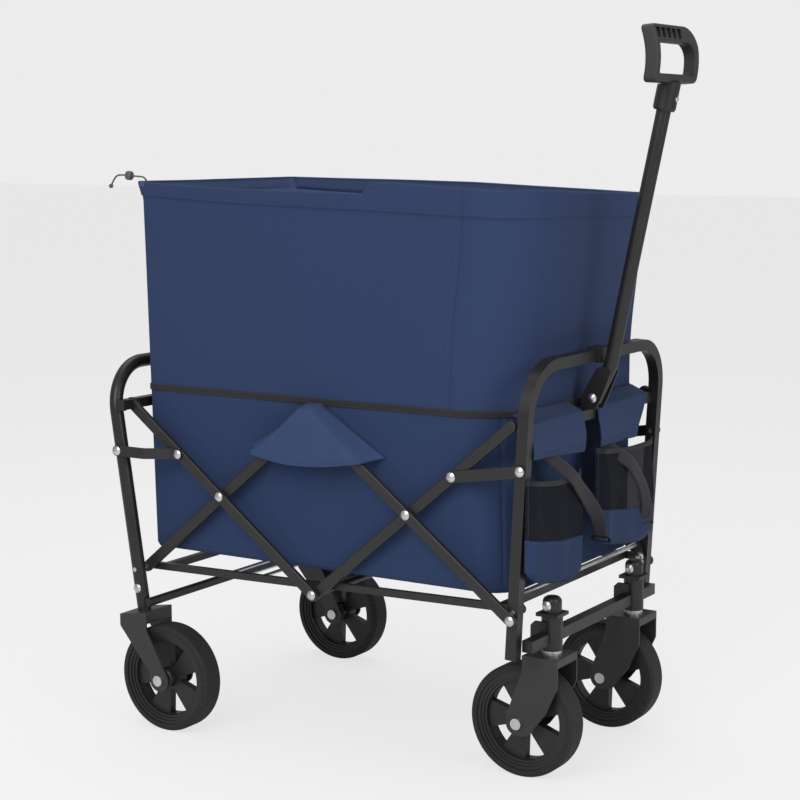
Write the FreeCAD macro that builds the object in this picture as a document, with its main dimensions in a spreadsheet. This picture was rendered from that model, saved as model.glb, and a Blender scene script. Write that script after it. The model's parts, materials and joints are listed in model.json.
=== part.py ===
"""Folding beach cart: a double scissor frame on two fixed wheels and two casters, with a fabric bag.

X runs from the rear wheels to the pull handle, Y across the cart and Z up. The model is drawn about the
middle of the wheelbase on the floor, and its pieces are moved at the end so that the origin lies under
the middle of the outline. Lengths are millimetres and angles degrees.
"""

import FreeCAD, Part
import math
import os
import re

import Sketcher

Vector = FreeCAD.Vector
NEAR = -1
FAR = 1
SIDES = (("near", NEAR), ("far", FAR))

doc = FreeCAD.newDocument("BeachCart")
sheet = doc.addObject("Spreadsheet::Sheet", "Sizes")

# ---------------------------------------------------------------- sizes

SIZES = (
    # wheels
    ("wheel_radius", 100, "outside of the tyre"),
    ("tyre_width", 47, "tyre width"),
    ("tyre_depth", 13, "tyre thickness outside the rim"),
    ("tyre_shoulder", 8, "rounding of the tyre's shoulders"),
    ("rim_width", 41, "rim ring width"),
    ("rim_depth", 16, "rim ring thickness"),
    ("rim_step", 2.5, "each step of the rim's face"),
    ("hub_radius", 19, "wheel hub"),
    ("hub_length", 50, "wheel hub"),
    ("spoke_thickness", 16, "disc that carries the spokes"),
    ("spokes", 5, "spokes of a wheel"),
    ("window_inner", 8, "window width at the hub"),
    ("window_outer", 39, "window width at the rim"),
    ("axle_radius", 5, "wheel bolt"),
    ("bolt_head_radius", 10, "wheel bolt head"),
    ("bolt_head_height", 5, "wheel bolt head"),
    ("wheelbase", 686, "between the wheel bolts along X"),
    ("rear_track", 576, "between the rear wheels"),
    ("front_track", 328, "between the casters"),
    # forks
    ("fork_width", 76, "across the fork's plates"),
    ("fork_sheet", 3, "sheet thickness of the forks"),
    ("fork_nose", 21, "fork plate round the bolt"),
    ("fork_corner", 9, "rounding of the plates' corners"),
    ("caster_trail", 47, "from the swivel axis back to the bolt"),
    ("caster_plate", 222, "height of the caster fork's top"),
    ("stem_radius", 8, "caster stem"),
    ("housing_radius", 18.5, "caster housing"),
    ("housing_length", 60, "caster housing below its flange"),
    ("housing_gap", 8, "fork top to housing"),
    ("flange_side", 42, "square flange of a housing"),
    ("flange_height", 6, "square flange of a housing"),
    ("gusset_sheet", 4, "gusset between a housing and the lower crossbar"),
    ("gusset_reach", 30, "gusset behind the swivel axis"),
    ("gusset_height", 43, "gusset"),
    ("boss_radius", 7, "side boss of a cap"),
    ("boss_height", 14, "side boss above a cap's seat"),
    ("cap_radius", 16.5, "cap on a caster housing"),
    ("cap_height", 28, "cap on a caster housing"),
    ("washer_radius", 18, "washer on the caster fork"),
    # rear arch
    ("tube_wall", 1.5, "wall of the bent tubes"),
    ("rear_tube", 25, "diameter of the rear arch"),
    ("rear_foot_back", 60.5, "foot of the rear legs behind the wheel bolts"),
    ("rear_foot_z", 220, "foot of the rear legs"),
    ("low_rivet_height", 42, "rivet near the foot of a rear leg"),
    ("rear_lean", 8.8, "rear legs lean back"),
    ("rear_half", 290, "rear leg to the centre plane"),
    ("rear_top", 690, "top of the rear arch"),
    ("rear_bend", 88, "centre-line radius of the rear corners"),
    # front arch
    ("front_tube", 20, "side of the front arch's square tube"),
    ("front_foot_back", 26, "foot of the front legs behind the swivel axes"),
    ("front_foot_z", 230, "foot of the front legs"),
    ("front_lean", 2.9, "front legs lean forward"),
    ("front_half", 256, "front leg to the centre plane"),
    ("front_top", 733, "top of the front arch"),
    ("front_bend", 85, "centre-line radius of the front corners"),
    # crossbars
    ("crossbar", 18, "side of the upper crossbars"),
    ("cap_length", 6, "plastic cap on a crossbar's end"),
    ("rear_bar_reach", 300, "half length of the upper rear crossbar"),
    ("low_bar_height", 17, "lower rear crossbar"),
    ("low_bar_depth", 10, "lower rear crossbar"),
    ("low_bar_z", 237, "middle of the lower rear crossbar"),
    ("front_bar_z", 617, "middle of the upper front crossbar"),
    ("front_low_bar", 20, "side of the lower front crossbar"),
    ("front_low_bar_z", 252, "middle of the lower front crossbar"),
    ("front_low_bar_back", 4, "middle of the lower front crossbar behind the swivel axes"),
    ("rod_radius", 4.5, "rod between the front legs"),
    ("rod_back", 4, "rod behind the foot of the front legs"),
    ("rod_z", 335.5, "rod between the front legs"),
    # scissor
    ("pivot_height", 78, "scissor pivot above the foot along the rear leg"),
    ("open_angle", 39, "bars against the scissor's line when open"),
    ("open_tilt", 1.3, "rise of the scissor's line when open"),
    ("fold_angle", 75.6, "bars against the scissor's line when folded"),
    ("rear_arm_share", 235 / 686, "share of the wheelbase from a rear pivot to the first middle rivet"),
    ("arm_share", 257 / 686, "share of the wheelbase that each other arm of the bars takes"),
    ("bar_height", 20, "scissor bar"),
    ("bar_thickness", 9.5, "scissor bar"),
    ("bar_gap", 1, "between the inner and the outer bars"),
    ("bar_overhang", 12, "bar end past its rivet"),
    ("bar_edge", 2.5, "rounding of the bars' edges"),
    ("rivet_radius", 4, "rivet shank"),
    ("rivet_head", 8.5, "rivet head"),
    ("rivet_dome", 3.2, "height of a rivet head"),
    ("tube_stay", 12, "centre cross tube"),
    # links
    ("link_height", 20, "link"),
    ("link_thickness", 3.5, "link"),
    ("link_flat", 64, "rear link beside the leg, before its crank"),
    ("rear_link_arm", 116, "rivet of the rear link from the bar's middle rivet"),
    ("front_link_arm", 113, "rivet of the front link from the bar's middle rivet"),
    # floor frame
    ("rail_height", 13, "floor rail"),
    ("rail_width", 10, "floor rail"),
    ("rail_gap", 2, "between the two halves' rails"),
    ("floor_rise", 13, "front floor pivot above the scissor pivot"),
    ("slat_depth", 12, "floor slat"),
    ("slat_pitch", 35, "from slat to slat"),
    ("slat_reach", 213, "rear pivot to the middle slat"),
    ("end_bar_reach", 36, "pivot to the end bar of a floor half"),
    ("slat_thickness", 2.5, "floor slat"),
    # handle
    ("handle_tube", 25, "diameter of the handle"),
    ("handle_pivot_ahead", 22.5, "handle pivot ahead of the foot of the front legs"),
    ("handle_pivot_z", 646, "handle pivot"),
    ("handle_leg_start", 6, "tube below the pivot"),
    ("handle_knee", 63, "pivot to knee"),
    ("knee_angle", 26, "lean of the part below the knee"),
    ("handle_lean", 11.7, "lean of the long part"),
    ("handle_length", 473, "knee to the end of the tube"),
    ("knee_radius", 90, "bend at the knee"),
    ("socket_length", 46, "plastic socket"),
    ("socket_radius", 19.5, "plastic socket"),
    ("grip_lean", -3.8, "lean of the grip, which stands up from the leaning tube"),
    ("grip_half", 85, "side of the grip to its middle"),
    ("grip_height", 95, "grip"),
    ("grip_depth", 25, "grip"),
    ("grip_bow", 8, "bow of the grip's front and back"),
    ("grip_base", 14, "foot of the grip below the opening"),
    ("grip_bar", 29, "bar held by the hand"),
    ("grip_side", 13, "side of the grip beside the opening"),
    ("grip_far_corner", 42, "upper far corner of the grip"),
    ("grip_corner", 10, "other corners of the grip"),
    ("grip_inner_far_corner", 26, "upper far corner of the opening"),
    ("grip_inner_corner", 6, "other corners of the opening"),
    ("grip_round", 4, "rounding of the grip's edges"),
    ("grip_cell", 17, "hollow cell in the front of the hand bar"),
    ("grip_cell_depth", 9, "hollow cell"),
    ("grip_cells", 5, "cells, with a slanted rib between each two"),
    ("grip_pitch", 21, "from cell to cell"),
    ("bracket_sheet", 3, "handle bracket and clip"),
    ("bracket_corner", 5, "corners of the handle bracket"),
    ("clip_width", 36, "clip on the arch"),
    # bag
    ("bag_half", 244, "bag to the centre plane"),
    ("bag_floor", 331, "underside of the bag"),
    ("bag_rim", 1018, "rim of the bag at the rear"),
    ("bag_rear_back", 8.5, "rear wall behind the foot of the rear legs, at the floor"),
    ("bag_front_back", 18, "front wall behind the foot of the front legs"),
    ("bag_rear_lean", 1.8, "lean of the rear wall"),
    ("bag_wall", 6, "wall, with its padding"),
    ("bag_corner", 12, "upright corners"),
    ("rim_fall", 15, "fall of the rim from rear to front"),
    ("tub_rim", 636, "binding between the tub and the upper part"),
    ("tab_z", 567, "tabs at the rear corners"),
    ("flap_half", 143, "half width of a side flap along the bag"),
    ("flap_tips", 547, "height of a side flap's corners"),
    ("flap_low", 524, "lowest part of a side flap's edge"),
    ("flap_crown", 24, "half width of a side flap over the bars' joint"),
    ("flap_draw", 14, "how much a side flap narrows away from the bag"),
    ("flap_thickness", 3, "side flap"),
    # front pockets and drawcord
    ("pocket_depth", 12, "front pocket"),
    ("pocket_corner", 28, "front pocket corners"),
    ("near_strap_top", 546, "near strap's upper end"),
    ("far_strap_top", 547.7, "far strap's upper end"),
    ("strap_low", 384, "lower ends of the straps"),
    ("near_strap_top_y", -146, "near strap's upper end"),
    ("near_strap_low_y", 60, "near strap's lower end"),
    ("far_strap_top_y", 76, "far strap's upper end"),
    ("far_strap_low_y", 216, "far strap's lower end"),
    ("strap_width", 25, "webbing strap"),
    ("strap_thickness", 2.5, "webbing strap"),
    ("cord_radius", 1.6, "drawcord"),
    ("toggle_radius", 8.5, "drawcord toggle"),
    ("toggle_length", 12, "drawcord toggle"),
    # fits
    ("clearance", 0.3, "between pieces that pass each other"),
    ("running_fit", 0.05, "radial, shank in its hole"),
)

number = {alias: value for alias, value, note in SIZES}


def fill_sheet(rows, first_row):
    """Write one row for each size: its note, its value and its alias."""
    for row, (alias, value, note) in enumerate(rows, first_row):
        sheet.set(f"A{row}", note)
        sheet.set(f"B{row}", str(value))
        sheet.setAlias(f"B{row}", alias)


fill_sheet(SIZES, 1)


# ---------------------------------------------------------------- places worked out from the sizes

def cosine(angle):
    return math.cos(math.radians(angle))


def sine(angle):
    return math.sin(math.radians(angle))


def heading(angle):
    """Unit vector in the side view at an angle above +X."""
    return Vector(cosine(angle), 0, sine(angle))


def at_y(point, y):
    return Vector(point.x, y, point.z)


N = type("Sizes", (), number)

rear_leg = heading(90 + N.rear_lean)
front_leg = heading(90 - N.front_lean)
rear_axle = Vector(-N.wheelbase / 2, 0, N.wheel_radius)
front_axle = Vector(N.wheelbase / 2, 0, N.wheel_radius)
swivel = Vector(front_axle.x + N.caster_trail, 0, 0)
rear_foot = Vector(rear_axle.x - N.rear_foot_back, 0, N.rear_foot_z)
front_foot = Vector(swivel.x - N.front_foot_back, 0, N.front_foot_z)
bag_rear = rear_foot.x - N.bag_rear_back
bag_front = front_foot.x - N.bag_front_back

# The bars lengthen with the wheelbase.
rear_arm = N.rear_arm_share * N.wheelbase
arm = N.arm_share * N.wheelbase

# Open scissor. Rising bars lie at open_tilt + open_angle and falling bars at open_tilt - open_angle.
rising = N.open_tilt + N.open_angle
falling = N.open_tilt - N.open_angle
rear_pivot = rear_foot + rear_leg * N.pivot_height
rear_low_rivet = rear_foot + rear_leg * N.low_rivet_height
rear_cross = rear_pivot + heading(rising) * rear_arm
rear_upper = rear_cross - heading(falling) * arm
low_centre = rear_cross + heading(falling) * arm
high_centre = rear_cross + heading(rising) * arm
front_cross = low_centre + heading(rising) * arm
front_upper = front_cross + heading(rising) * arm

# The falling front bar ends on the middle line of the front leg.
offset = front_foot - front_cross
leg_turn = heading(falling).cross(front_leg).y
front_arm = offset.cross(front_leg).y / leg_turn
front_pivot = front_cross + heading(falling) * front_arm

# Folded scissor. Its line tilts so that the front frame comes in level, without turning.
rise = (front_pivot - rear_pivot).z
spread = rear_arm - front_arm
total = rear_arm + 2 * arm + front_arm
level = math.hypot(spread * sine(N.fold_angle), total * cosine(N.fold_angle))
fold_tilt = math.degrees(
    math.asin(rise / level) - math.atan2(spread * sine(N.fold_angle), total * cosine(N.fold_angle)))
rising_folded = fold_tilt + N.fold_angle
falling_folded = fold_tilt - N.fold_angle


def leg_pin(leg, pin_open, pin_folded):
    """Distance along a leg from which a link has one length in both ends of the fold."""
    return (pin_folded.Length ** 2 - pin_open.Length ** 2) / (2 * leg.dot(pin_folded - pin_open))


rear_link_pin = rear_cross - heading(falling) * N.rear_link_arm
rear_pin_open = rear_link_pin - rear_pivot
rear_pin_folded = heading(rising_folded) * rear_arm - heading(falling_folded) * N.rear_link_arm
rear_leg_pin = rear_pivot + rear_leg * leg_pin(rear_leg, rear_pin_open, rear_pin_folded)

front_link_pin = front_cross + heading(rising) * N.front_link_arm
front_pin_open = front_link_pin - front_pivot
front_pin_folded = heading(rising_folded) * N.front_link_arm - heading(falling_folded) * front_arm
front_leg_pin = front_pivot + front_leg * leg_pin(front_leg, front_pin_open, front_pin_folded)

# Planes across the cart, as distances from the centre plane.
inner_bar = N.front_half + N.front_tube / 2 - N.bar_thickness
outer_bar = N.front_half + N.front_tube / 2 + N.bar_gap

# Floor halves: the rear rails run outside the front rails.
floor_pivot = front_pivot + front_leg * N.floor_rise
floor_middle = (rear_pivot + floor_pivot) / 2
rear_rail = inner_bar - N.bar_gap - N.rail_width
front_rail = rear_rail - N.rail_gap - N.rail_width

# Handle.
handle_pivot = Vector(front_foot.x + N.handle_pivot_ahead, 0, N.handle_pivot_z)
handle_knee = handle_pivot + heading(90 - N.knee_angle) * N.handle_knee
handle_end = handle_knee + heading(90 - N.handle_lean) * N.handle_length
handle_axis = heading(90 - N.handle_lean)
grip_foot = handle_end + handle_axis * (N.socket_length / 2)


# ---------------------------------------------------------------- drawing helpers

nodes = []


def bind(thing, path, expression):
    """Tie a property to the sheet: every alias in the expression gets the sheet's name."""
    words = re.sub(r"[A-Za-z_]\w*", lambda found: "Sizes." + found.group() if found.group() in number
                   else found.group(), expression)
    thing.setExpression(path, words)


def node(thing, name):
    """Name a finished sub-part."""
    thing.Label = name
    nodes.append(thing)
    return thing


def new_body(name):
    body = doc.addObject("PartDesign::Body", name)
    return node(body, name)


def plane(body, role):
    """Origin plane or axis of a body."""
    for feature in body.Origin.OriginFeatures:
        if feature.Role == role:
            return feature


def new_sketch(body, role, name, lift=0.0):
    """Sketch on an origin plane of its body, lifted along the plane's normal."""
    sketch = body.newObject("Sketcher::SketchObject", name)
    sketch.AttachmentSupport = [(plane(body, role), "")]
    sketch.MapMode = "FlatFace"
    sketch.AttachmentOffset = FreeCAD.Placement(Vector(0, 0, lift), FreeCAD.Rotation())
    return sketch


def draw_outline(sketch, corners):
    """Closed outline of straight lines, each corner held to the sketch's origin."""
    following = corners[1:] + corners[:1]
    lines = [
        sketch.addGeometry(Part.LineSegment(Vector(*start, 0), Vector(*end, 0)), False)
        for start, end in zip(corners, following)]
    for line, next_line, (x, y) in zip(lines, lines[1:] + lines[:1], corners):
        sketch.addConstraint(Sketcher.Constraint("Coincident", line, 2, next_line, 1))
        sketch.addConstraint(Sketcher.Constraint("DistanceX", -1, 1, line, 1, x))
        sketch.addConstraint(Sketcher.Constraint("DistanceY", -1, 1, line, 1, y))


def draw_circle(sketch, radius, x=0.0, y=0.0):
    """Circle whose radius is a size of the sheet, or a sum of sizes."""
    index = sketch.addGeometry(Part.Circle(Vector(x, y, 0), Vector(0, 0, 1), 1), False)
    sketch.addConstraint(Sketcher.Constraint("DistanceX", -1, 1, index, 3, x))
    sketch.addConstraint(Sketcher.Constraint("DistanceY", -1, 1, index, 3, y))
    held = sketch.addConstraint(Sketcher.Constraint("Radius", index, 1))
    bind(sketch, f"Constraints[{held}]", radius)


def draw_slot(sketch, start, end, width):
    """Outline with two round ends about two points, its width a size of the sheet."""
    along = Vector(*end, 0) - Vector(*start, 0)
    radius = sheet.get(width) / 2
    turn = math.atan2(along.y, along.x)
    side = Vector(-math.sin(turn), math.cos(turn), 0) * radius
    first = Vector(*start, 0)
    last = Vector(*end, 0)
    half = math.pi / 2
    sketch.addGeometry(Part.LineSegment(first + side, last + side), False)
    sketch.addGeometry(Part.LineSegment(last - side, first - side), False)
    far_end = Part.Circle(last, Vector(0, 0, 1), radius)
    near_end = Part.Circle(first, Vector(0, 0, 1), radius)
    sketch.addGeometry(Part.ArcOfCircle(far_end, turn - half, turn + half), False)
    sketch.addGeometry(Part.ArcOfCircle(near_end, turn + half, turn + 3 * half), False)
    for line, line_end, arc, arc_end in ((0, 2, 2, 2), (1, 1, 2, 1), (1, 2, 3, 2), (0, 1, 3, 1)):
        sketch.addConstraint(Sketcher.Constraint("Tangent", line, line_end, arc, arc_end))
    for arc, point in ((2, last), (3, first)):
        sketch.addConstraint(Sketcher.Constraint("DistanceX", -1, 1, arc, 3, point.x))
        sketch.addConstraint(Sketcher.Constraint("DistanceY", -1, 1, arc, 3, point.y))
    held = sketch.addConstraint(Sketcher.Constraint("Radius", 3, radius))
    bind(sketch, f"Constraints[{held}]", f"{width} / 2")


def draw_square(sketch, y, size):
    """Square on the sketch's vertical axis."""
    half = size / 2
    draw_outline(sketch, [(-half, y - half), (half, y - half), (half, y + half), (-half, y + half)])


def pad(body, sketch, name, length, both_ways=False):
    feature = body.newObject("PartDesign::Pad", name)
    feature.Profile = sketch
    if both_ways:
        feature.SideType = "Symmetric"
    bind(feature, "Length", length)
    return feature


def cut_through(body, sketch, name):
    """Pocket through the whole body, both ways from the sketch."""
    feature = body.newObject("PartDesign::Pocket", name)
    feature.Profile = sketch
    feature.SideType = "Symmetric"
    feature.Type = "ThroughAll"
    return feature


def cut_slot(body, sketch, name, length):
    """Pocket of a stated length, centred on the sketch."""
    feature = body.newObject("PartDesign::Pocket", name)
    feature.Profile = sketch
    feature.SideType = "Symmetric"
    bind(feature, "Length", length)
    return feature


def revolve(body, sketch, name):
    """Full turn about the sketch's vertical axis."""
    feature = body.newObject("PartDesign::Revolution", name)
    feature.Profile = sketch
    feature.ReferenceAxis = (sketch, ["V_Axis"])
    feature.Angle = 360
    return feature


def round_edges(body, base, name, radius, chosen):
    """Fillet the edges of a feature that a test picks."""
    doc.recompute()
    edges = [f"Edge{index}" for index, edge in enumerate(base.Shape.Edges, 1) if chosen(edge)]
    feature = body.newObject("PartDesign::Fillet", name)
    feature.Base = (base, edges)
    bind(feature, "Radius", radius)
    return feature


def along_y(edge):
    ends = edge.Vertexes
    return len(ends) == 2 and (ends[1].Point - ends[0].Point).cross(Vector(0, 1, 0)).Length < 1e-6


def cylinder(start, direction, radius, length):
    return Part.makeCylinder(radius, length, start, direction)


def bar_box(name, centre, x_size, y_size, z_size):
    """Straight bar across the cart, its section held by the sheet."""
    bar = doc.addObject("Part::Box", name)
    bind(bar, "Length", x_size)
    bind(bar, "Height", z_size)
    bar.Width = y_size
    bar.recompute()
    bar.Placement.Base = centre - Vector(bar.Length.Value / 2, y_size / 2, bar.Height.Value / 2)
    return bar


def polar(body, base, name, count):
    """Repeat a feature round the body's Y axis."""
    feature = body.newObject("PartDesign::PolarPattern", name)
    feature.Originals = [base]
    feature.Axis = (plane(body, "Y_Axis"), [""])
    feature.Angle = 360
    bind(feature, "Occurrences", count)
    body.Tip = feature
    return feature


def shape_node(name, solids):
    """Sub-part whose solids part.py makes itself, such as a group of fasteners."""
    feature = doc.addObject("Part::Feature", name)
    feature.Shape = solids[0] if len(solids) == 1 else Part.makeCompound(solids)
    return node(feature, name)


def rivet(centre, side, start, end):
    """Shank across the cart between two distances from the centre plane, with a domed head at its end."""
    way = side if end > start else -side
    foot = at_y(centre, side * start)
    seat = at_y(centre, side * end)
    out = Vector(1, 0, 0)
    tip = seat + Vector(0, way * N.rivet_dome, 0)
    ball = (N.rivet_head ** 2 + N.rivet_dome ** 2) / (2 * N.rivet_dome)
    half_turn = math.asin(N.rivet_head / ball) / 2
    ball_centre = tip - Vector(0, way * ball, 0)
    dome_rise = Vector(0, way * ball * math.cos(half_turn), 0)
    dome_middle = ball_centre + out * (ball * math.sin(half_turn)) + dome_rise
    edges = [
        Part.LineSegment(foot, foot + out * N.rivet_radius).toShape(),
        Part.LineSegment(foot + out * N.rivet_radius, seat + out * N.rivet_radius).toShape(),
        Part.LineSegment(seat + out * N.rivet_radius, seat + out * N.rivet_head).toShape(),
        Part.Arc(seat + out * N.rivet_head, dome_middle, tip).toShape(),
        Part.LineSegment(tip, foot).toShape()]
    return Part.Face(Part.Wire(edges)).revolve(foot, Vector(0, -way, 0), 360)


# ---------------------------------------------------------------- wheels

def wheel_rim(name):
    """Moulded rim: hub, five spokes cut from a recessed disc, and a ring with stepped faces."""
    body = new_body(name)
    outer = N.wheel_radius - N.tyre_depth
    inner = outer - N.rim_depth
    bore = N.axle_radius + N.running_fit
    hub = N.hub_length / 2
    disc = N.spoke_thickness / 2
    edge = N.rim_width / 2
    stair = N.rim_step
    half = [
        (bore, hub), (N.hub_radius - stair, hub), (N.hub_radius, hub - stair), (N.hub_radius, disc),
        (inner, disc), (inner, edge - 2 * stair), (inner + 2 * stair, edge - 2 * stair),
        (inner + 2 * stair, edge - stair), (inner + 4 * stair, edge - stair), (inner + 4 * stair, edge),
        (outer, edge),
    ]
    section = new_sketch(body, "XY_Plane", name + "_section")
    draw_outline(section, half + [(x, -y) for x, y in reversed(half)])
    turned = revolve(body, section, name + "_turned")
    doc.recompute()

    window = new_sketch(body, "XZ_Plane", name + "_window")
    near_hub = N.hub_radius + 2 * stair
    near_rim = math.sqrt((inner - 1) ** 2 - (N.window_outer / 2) ** 2)
    draw_outline(window, [
        (near_hub, -N.window_inner / 2), (near_rim, -N.window_outer / 2),
        (inner - 1, 0), (near_rim, N.window_outer / 2), (near_hub, N.window_inner / 2)])
    cut = cut_through(body, window, name + "_cut")
    doc.recompute()
    polar(body, cut, name + "_spokes", "spokes")
    return body


def wheel_tyre(name):
    """Plain ring with round shoulders."""
    body = new_body(name)
    inner = N.wheel_radius - N.tyre_depth + N.running_fit
    half = N.tyre_width / 2
    section = new_sketch(body, "XY_Plane", name + "_section")
    draw_outline(section, [(inner, -half), (N.wheel_radius, -half), (N.wheel_radius, half), (inner, half)])
    ring = revolve(body, section, name + "_ring")

    def shoulder(edge):
        return abs(edge.BoundBox.XLength - 2 * N.wheel_radius) < 0.01 and edge.BoundBox.YLength < 0.01

    round_edges(body, ring, name + "_shoulders", "tyre_shoulder", shoulder)
    return body


def wheel(name, axle):
    for piece in (wheel_rim("rim_" + name), wheel_tyre("tyre_" + name)):
        piece.Placement.Base = axle


def wheel_bolt(axle, fork_centre):
    """Bolt through both fork plates, a head on one side and a nut on the other."""
    outside = N.fork_width / 2
    head = N.bolt_head_height
    shank = cylinder(at_y(axle, fork_centre - outside), Vector(0, 1, 0), N.axle_radius, 2 * outside)
    near_head = cylinder(at_y(axle, fork_centre - outside - head), Vector(0, 1, 0), N.bolt_head_radius, head)
    nut_section = Part.makePolygon([
        at_y(axle, fork_centre + outside) + heading(60 * step) * N.bolt_head_radius for step in range(7)])
    nut = Part.Face(nut_section).extrude(Vector(0, head, 0))
    return shank.fuse([near_head, nut]).removeSplitter()


# ---------------------------------------------------------------- forks

def stamped_fork(name, outline, inside, axle, centre_y, rounded, narrow):
    """Folded sheet fork: the outline padded across, hollowed from below, with a hole for the bolt."""
    body = new_body(name)
    side = new_sketch(body, "XZ_Plane", name + "_side")
    draw_outline(side, outline)
    block = pad(body, side, name + "_block", "fork_width", both_ways=True)

    def corner(points):
        def test(edge):
            point = edge.Vertexes[0].Point
            return along_y(edge) and any(math.hypot(point.x - x, point.z - z) < 0.01 for x, z in points)
        return test

    nose = round_edges(body, block, name + "_nose", "fork_nose - clearance", corner(narrow))
    bends = round_edges(body, nose, name + "_bends", "fork_corner", corner(rounded))
    doc.recompute()
    hollow = new_sketch(body, "XZ_Plane", name + "_hollow")
    draw_outline(hollow, inside)
    cut_slot(body, hollow, name + "_channel", "fork_width - 2 * fork_sheet")
    hole = new_sketch(body, "XZ_Plane", name + "_hole")
    draw_circle(hole, "axle_radius + running_fit", axle.x, axle.z)
    cut_through(body, hole, name + "_bolt_hole")
    body.Placement.Base = Vector(0, centre_y, 0)
    return body


def rear_fork(name, side):
    """Fixed fork: its top plate is square to the leg that stands on it."""
    across = Vector(rear_leg.z, 0, -rear_leg.x)
    front = rear_foot + across * 33
    back = rear_foot - across * 30
    nose = N.fork_nose
    axle = rear_axle
    low_front = (axle.x + nose, axle.z - nose)
    low_back = (axle.x - nose, axle.z - nose)
    belly = (front.x, front.z - 33)
    outline = [
        (back.x, back.z), (front.x, front.z), belly, (axle.x + nose, axle.z + 5), low_front, low_back,
        (axle.x - nose, axle.z + 12), (back.x, back.z - 22)]
    under = rear_leg * -N.fork_sheet
    lip = N.fork_sheet
    inside = [
        (back.x - 40, back.z + under.z - 40 * across.z), (front.x - lip, front.z + under.z),
        (front.x - lip, front.z - 22), (axle.x + 2 * nose, front.z - 22),
        (axle.x + 2 * nose, axle.z - 2 * nose), (back.x - 40, axle.z - 2 * nose)]
    stamped_fork(name, outline, inside, axle, side * N.rear_track / 2,
                 rounded=(belly, outline[6], outline[7]), narrow=(low_front, low_back))


def caster_fork(name, side):
    """Caster fork: its bolt trails behind the swivel axis."""
    nose = N.fork_nose
    axle = front_axle
    top = N.caster_plate
    back = swivel.x - 38
    front = swivel.x + 30
    low_front = (axle.x + nose, axle.z - nose)
    low_back = (axle.x - nose, axle.z - nose)
    outline = [
        (back, top), (front, top), (front, top - 50), (swivel.x + 9, axle.z + 26), low_front, low_back,
        (axle.x - nose, axle.z + 12), (back, top - 30)]
    lip = N.fork_sheet
    inside = [
        (back - 60, top - lip), (front - lip, top - lip), (front - lip, top - 14), (front + 20, top - 14),
        (front + 20, axle.z - 2 * nose), (back - 60, axle.z - 2 * nose)]
    stamped_fork(name, outline, inside, axle, side * N.front_track / 2,
                 rounded=(outline[2], outline[3], outline[6], outline[7]), narrow=(low_front, low_back))


def caster_stem(name, side):
    """Stem in the housing, washer on the fork and the wheel bolt."""
    centre = Vector(swivel.x, side * N.front_track / 2, 0)
    up = Vector(0, 0, 1)
    housing = housing_bottom()
    foot = centre + up * N.caster_plate
    washer = cylinder(foot, up, N.washer_radius, housing - N.clearance - N.caster_plate)
    stem = cylinder(foot, up, N.stem_radius, housing_top() - N.clearance - N.caster_plate)
    shape_node(name, [washer.fuse(stem).removeSplitter(), wheel_bolt(front_axle, centre.y)])


# ---------------------------------------------------------------- arches and crossbars

def bent_arch(name, foot, lean, half, top, bend, tube, round_section, pins):
    """Arch bent from one tube, drawn upright and then leaned. Its two legs are drilled for the pins."""
    body = new_body(name)
    tall = (top - sheet.get(tube) / 2 - foot.z) / cosine(lean)
    route = new_sketch(body, "YZ_Plane", name + "_route")
    flat = half - bend
    route.addGeometry(Part.LineSegment(Vector(-half, 0, 0), Vector(-half, tall - bend, 0)), False)
    left = Part.Circle(Vector(-flat, tall - bend, 0), Vector(0, 0, 1), bend)
    route.addGeometry(Part.ArcOfCircle(left, math.pi / 2, math.pi), False)
    route.addGeometry(Part.LineSegment(Vector(-flat, tall, 0), Vector(flat, tall, 0)), False)
    right = Part.Circle(Vector(flat, tall - bend, 0), Vector(0, 0, 1), bend)
    route.addGeometry(Part.ArcOfCircle(right, 0, math.pi / 2), False)
    route.addGeometry(Part.LineSegment(Vector(half, tall - bend, 0), Vector(half, 0, 0)), False)
    for first, first_end, second, second_end in ((0, 2, 1, 2), (1, 1, 2, 1), (2, 2, 3, 2), (3, 1, 4, 1)):
        route.addConstraint(Sketcher.Constraint("Tangent", first, first_end, second, second_end))
    section = new_sketch(body, "XY_Plane", name + "_section")
    if round_section:
        draw_circle(section, f"{tube} / 2", 0, -half)
        draw_circle(section, f"{tube} / 2 - tube_wall", 0, -half)
    else:
        draw_square(section, -half, sheet.get(tube))
        draw_square(section, -half, sheet.get(tube) - 2 * N.tube_wall)
    pipe = body.newObject("PartDesign::AdditivePipe", name + "_tube")
    pipe.Profile = section
    pipe.Spine = (route, [])
    doc.recompute()
    drilled = new_sketch(body, "XZ_Plane", name + "_holes")
    for pin in pins:
        draw_circle(drilled, "rivet_radius + running_fit", 0, (pin - foot).Length)
    cut_through(body, drilled, name + "_drilled")
    body.Placement = FreeCAD.Placement(foot, FreeCAD.Rotation(Vector(0, 1, 0), lean))
    return body


def rear_crossbar_lower():
    """Flat oval bar in front of the rear legs."""
    leg_front = rear_pivot.x + (rear_pivot.z - N.low_bar_z) * math.tan(math.radians(N.rear_lean)) \
        + N.rear_tube / 2 / cosine(N.rear_lean)
    body = new_body("rear_crossbar_lower")
    section = new_sketch(body, "XZ_Plane", "low_bar_section")
    x = leg_front + 1 + N.clearance + N.low_bar_depth / 2
    reach = (N.low_bar_height - N.low_bar_depth) / 2
    draw_slot(section, (x, N.low_bar_z - reach), (x, N.low_bar_z + reach), "low_bar_depth")
    pad(body, section, "low_bar_length", "2 * rear_bar_reach", both_ways=True)


def housing_bottom():
    return N.caster_plate + N.housing_gap


def housing_top():
    return housing_bottom() + N.housing_length


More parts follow.
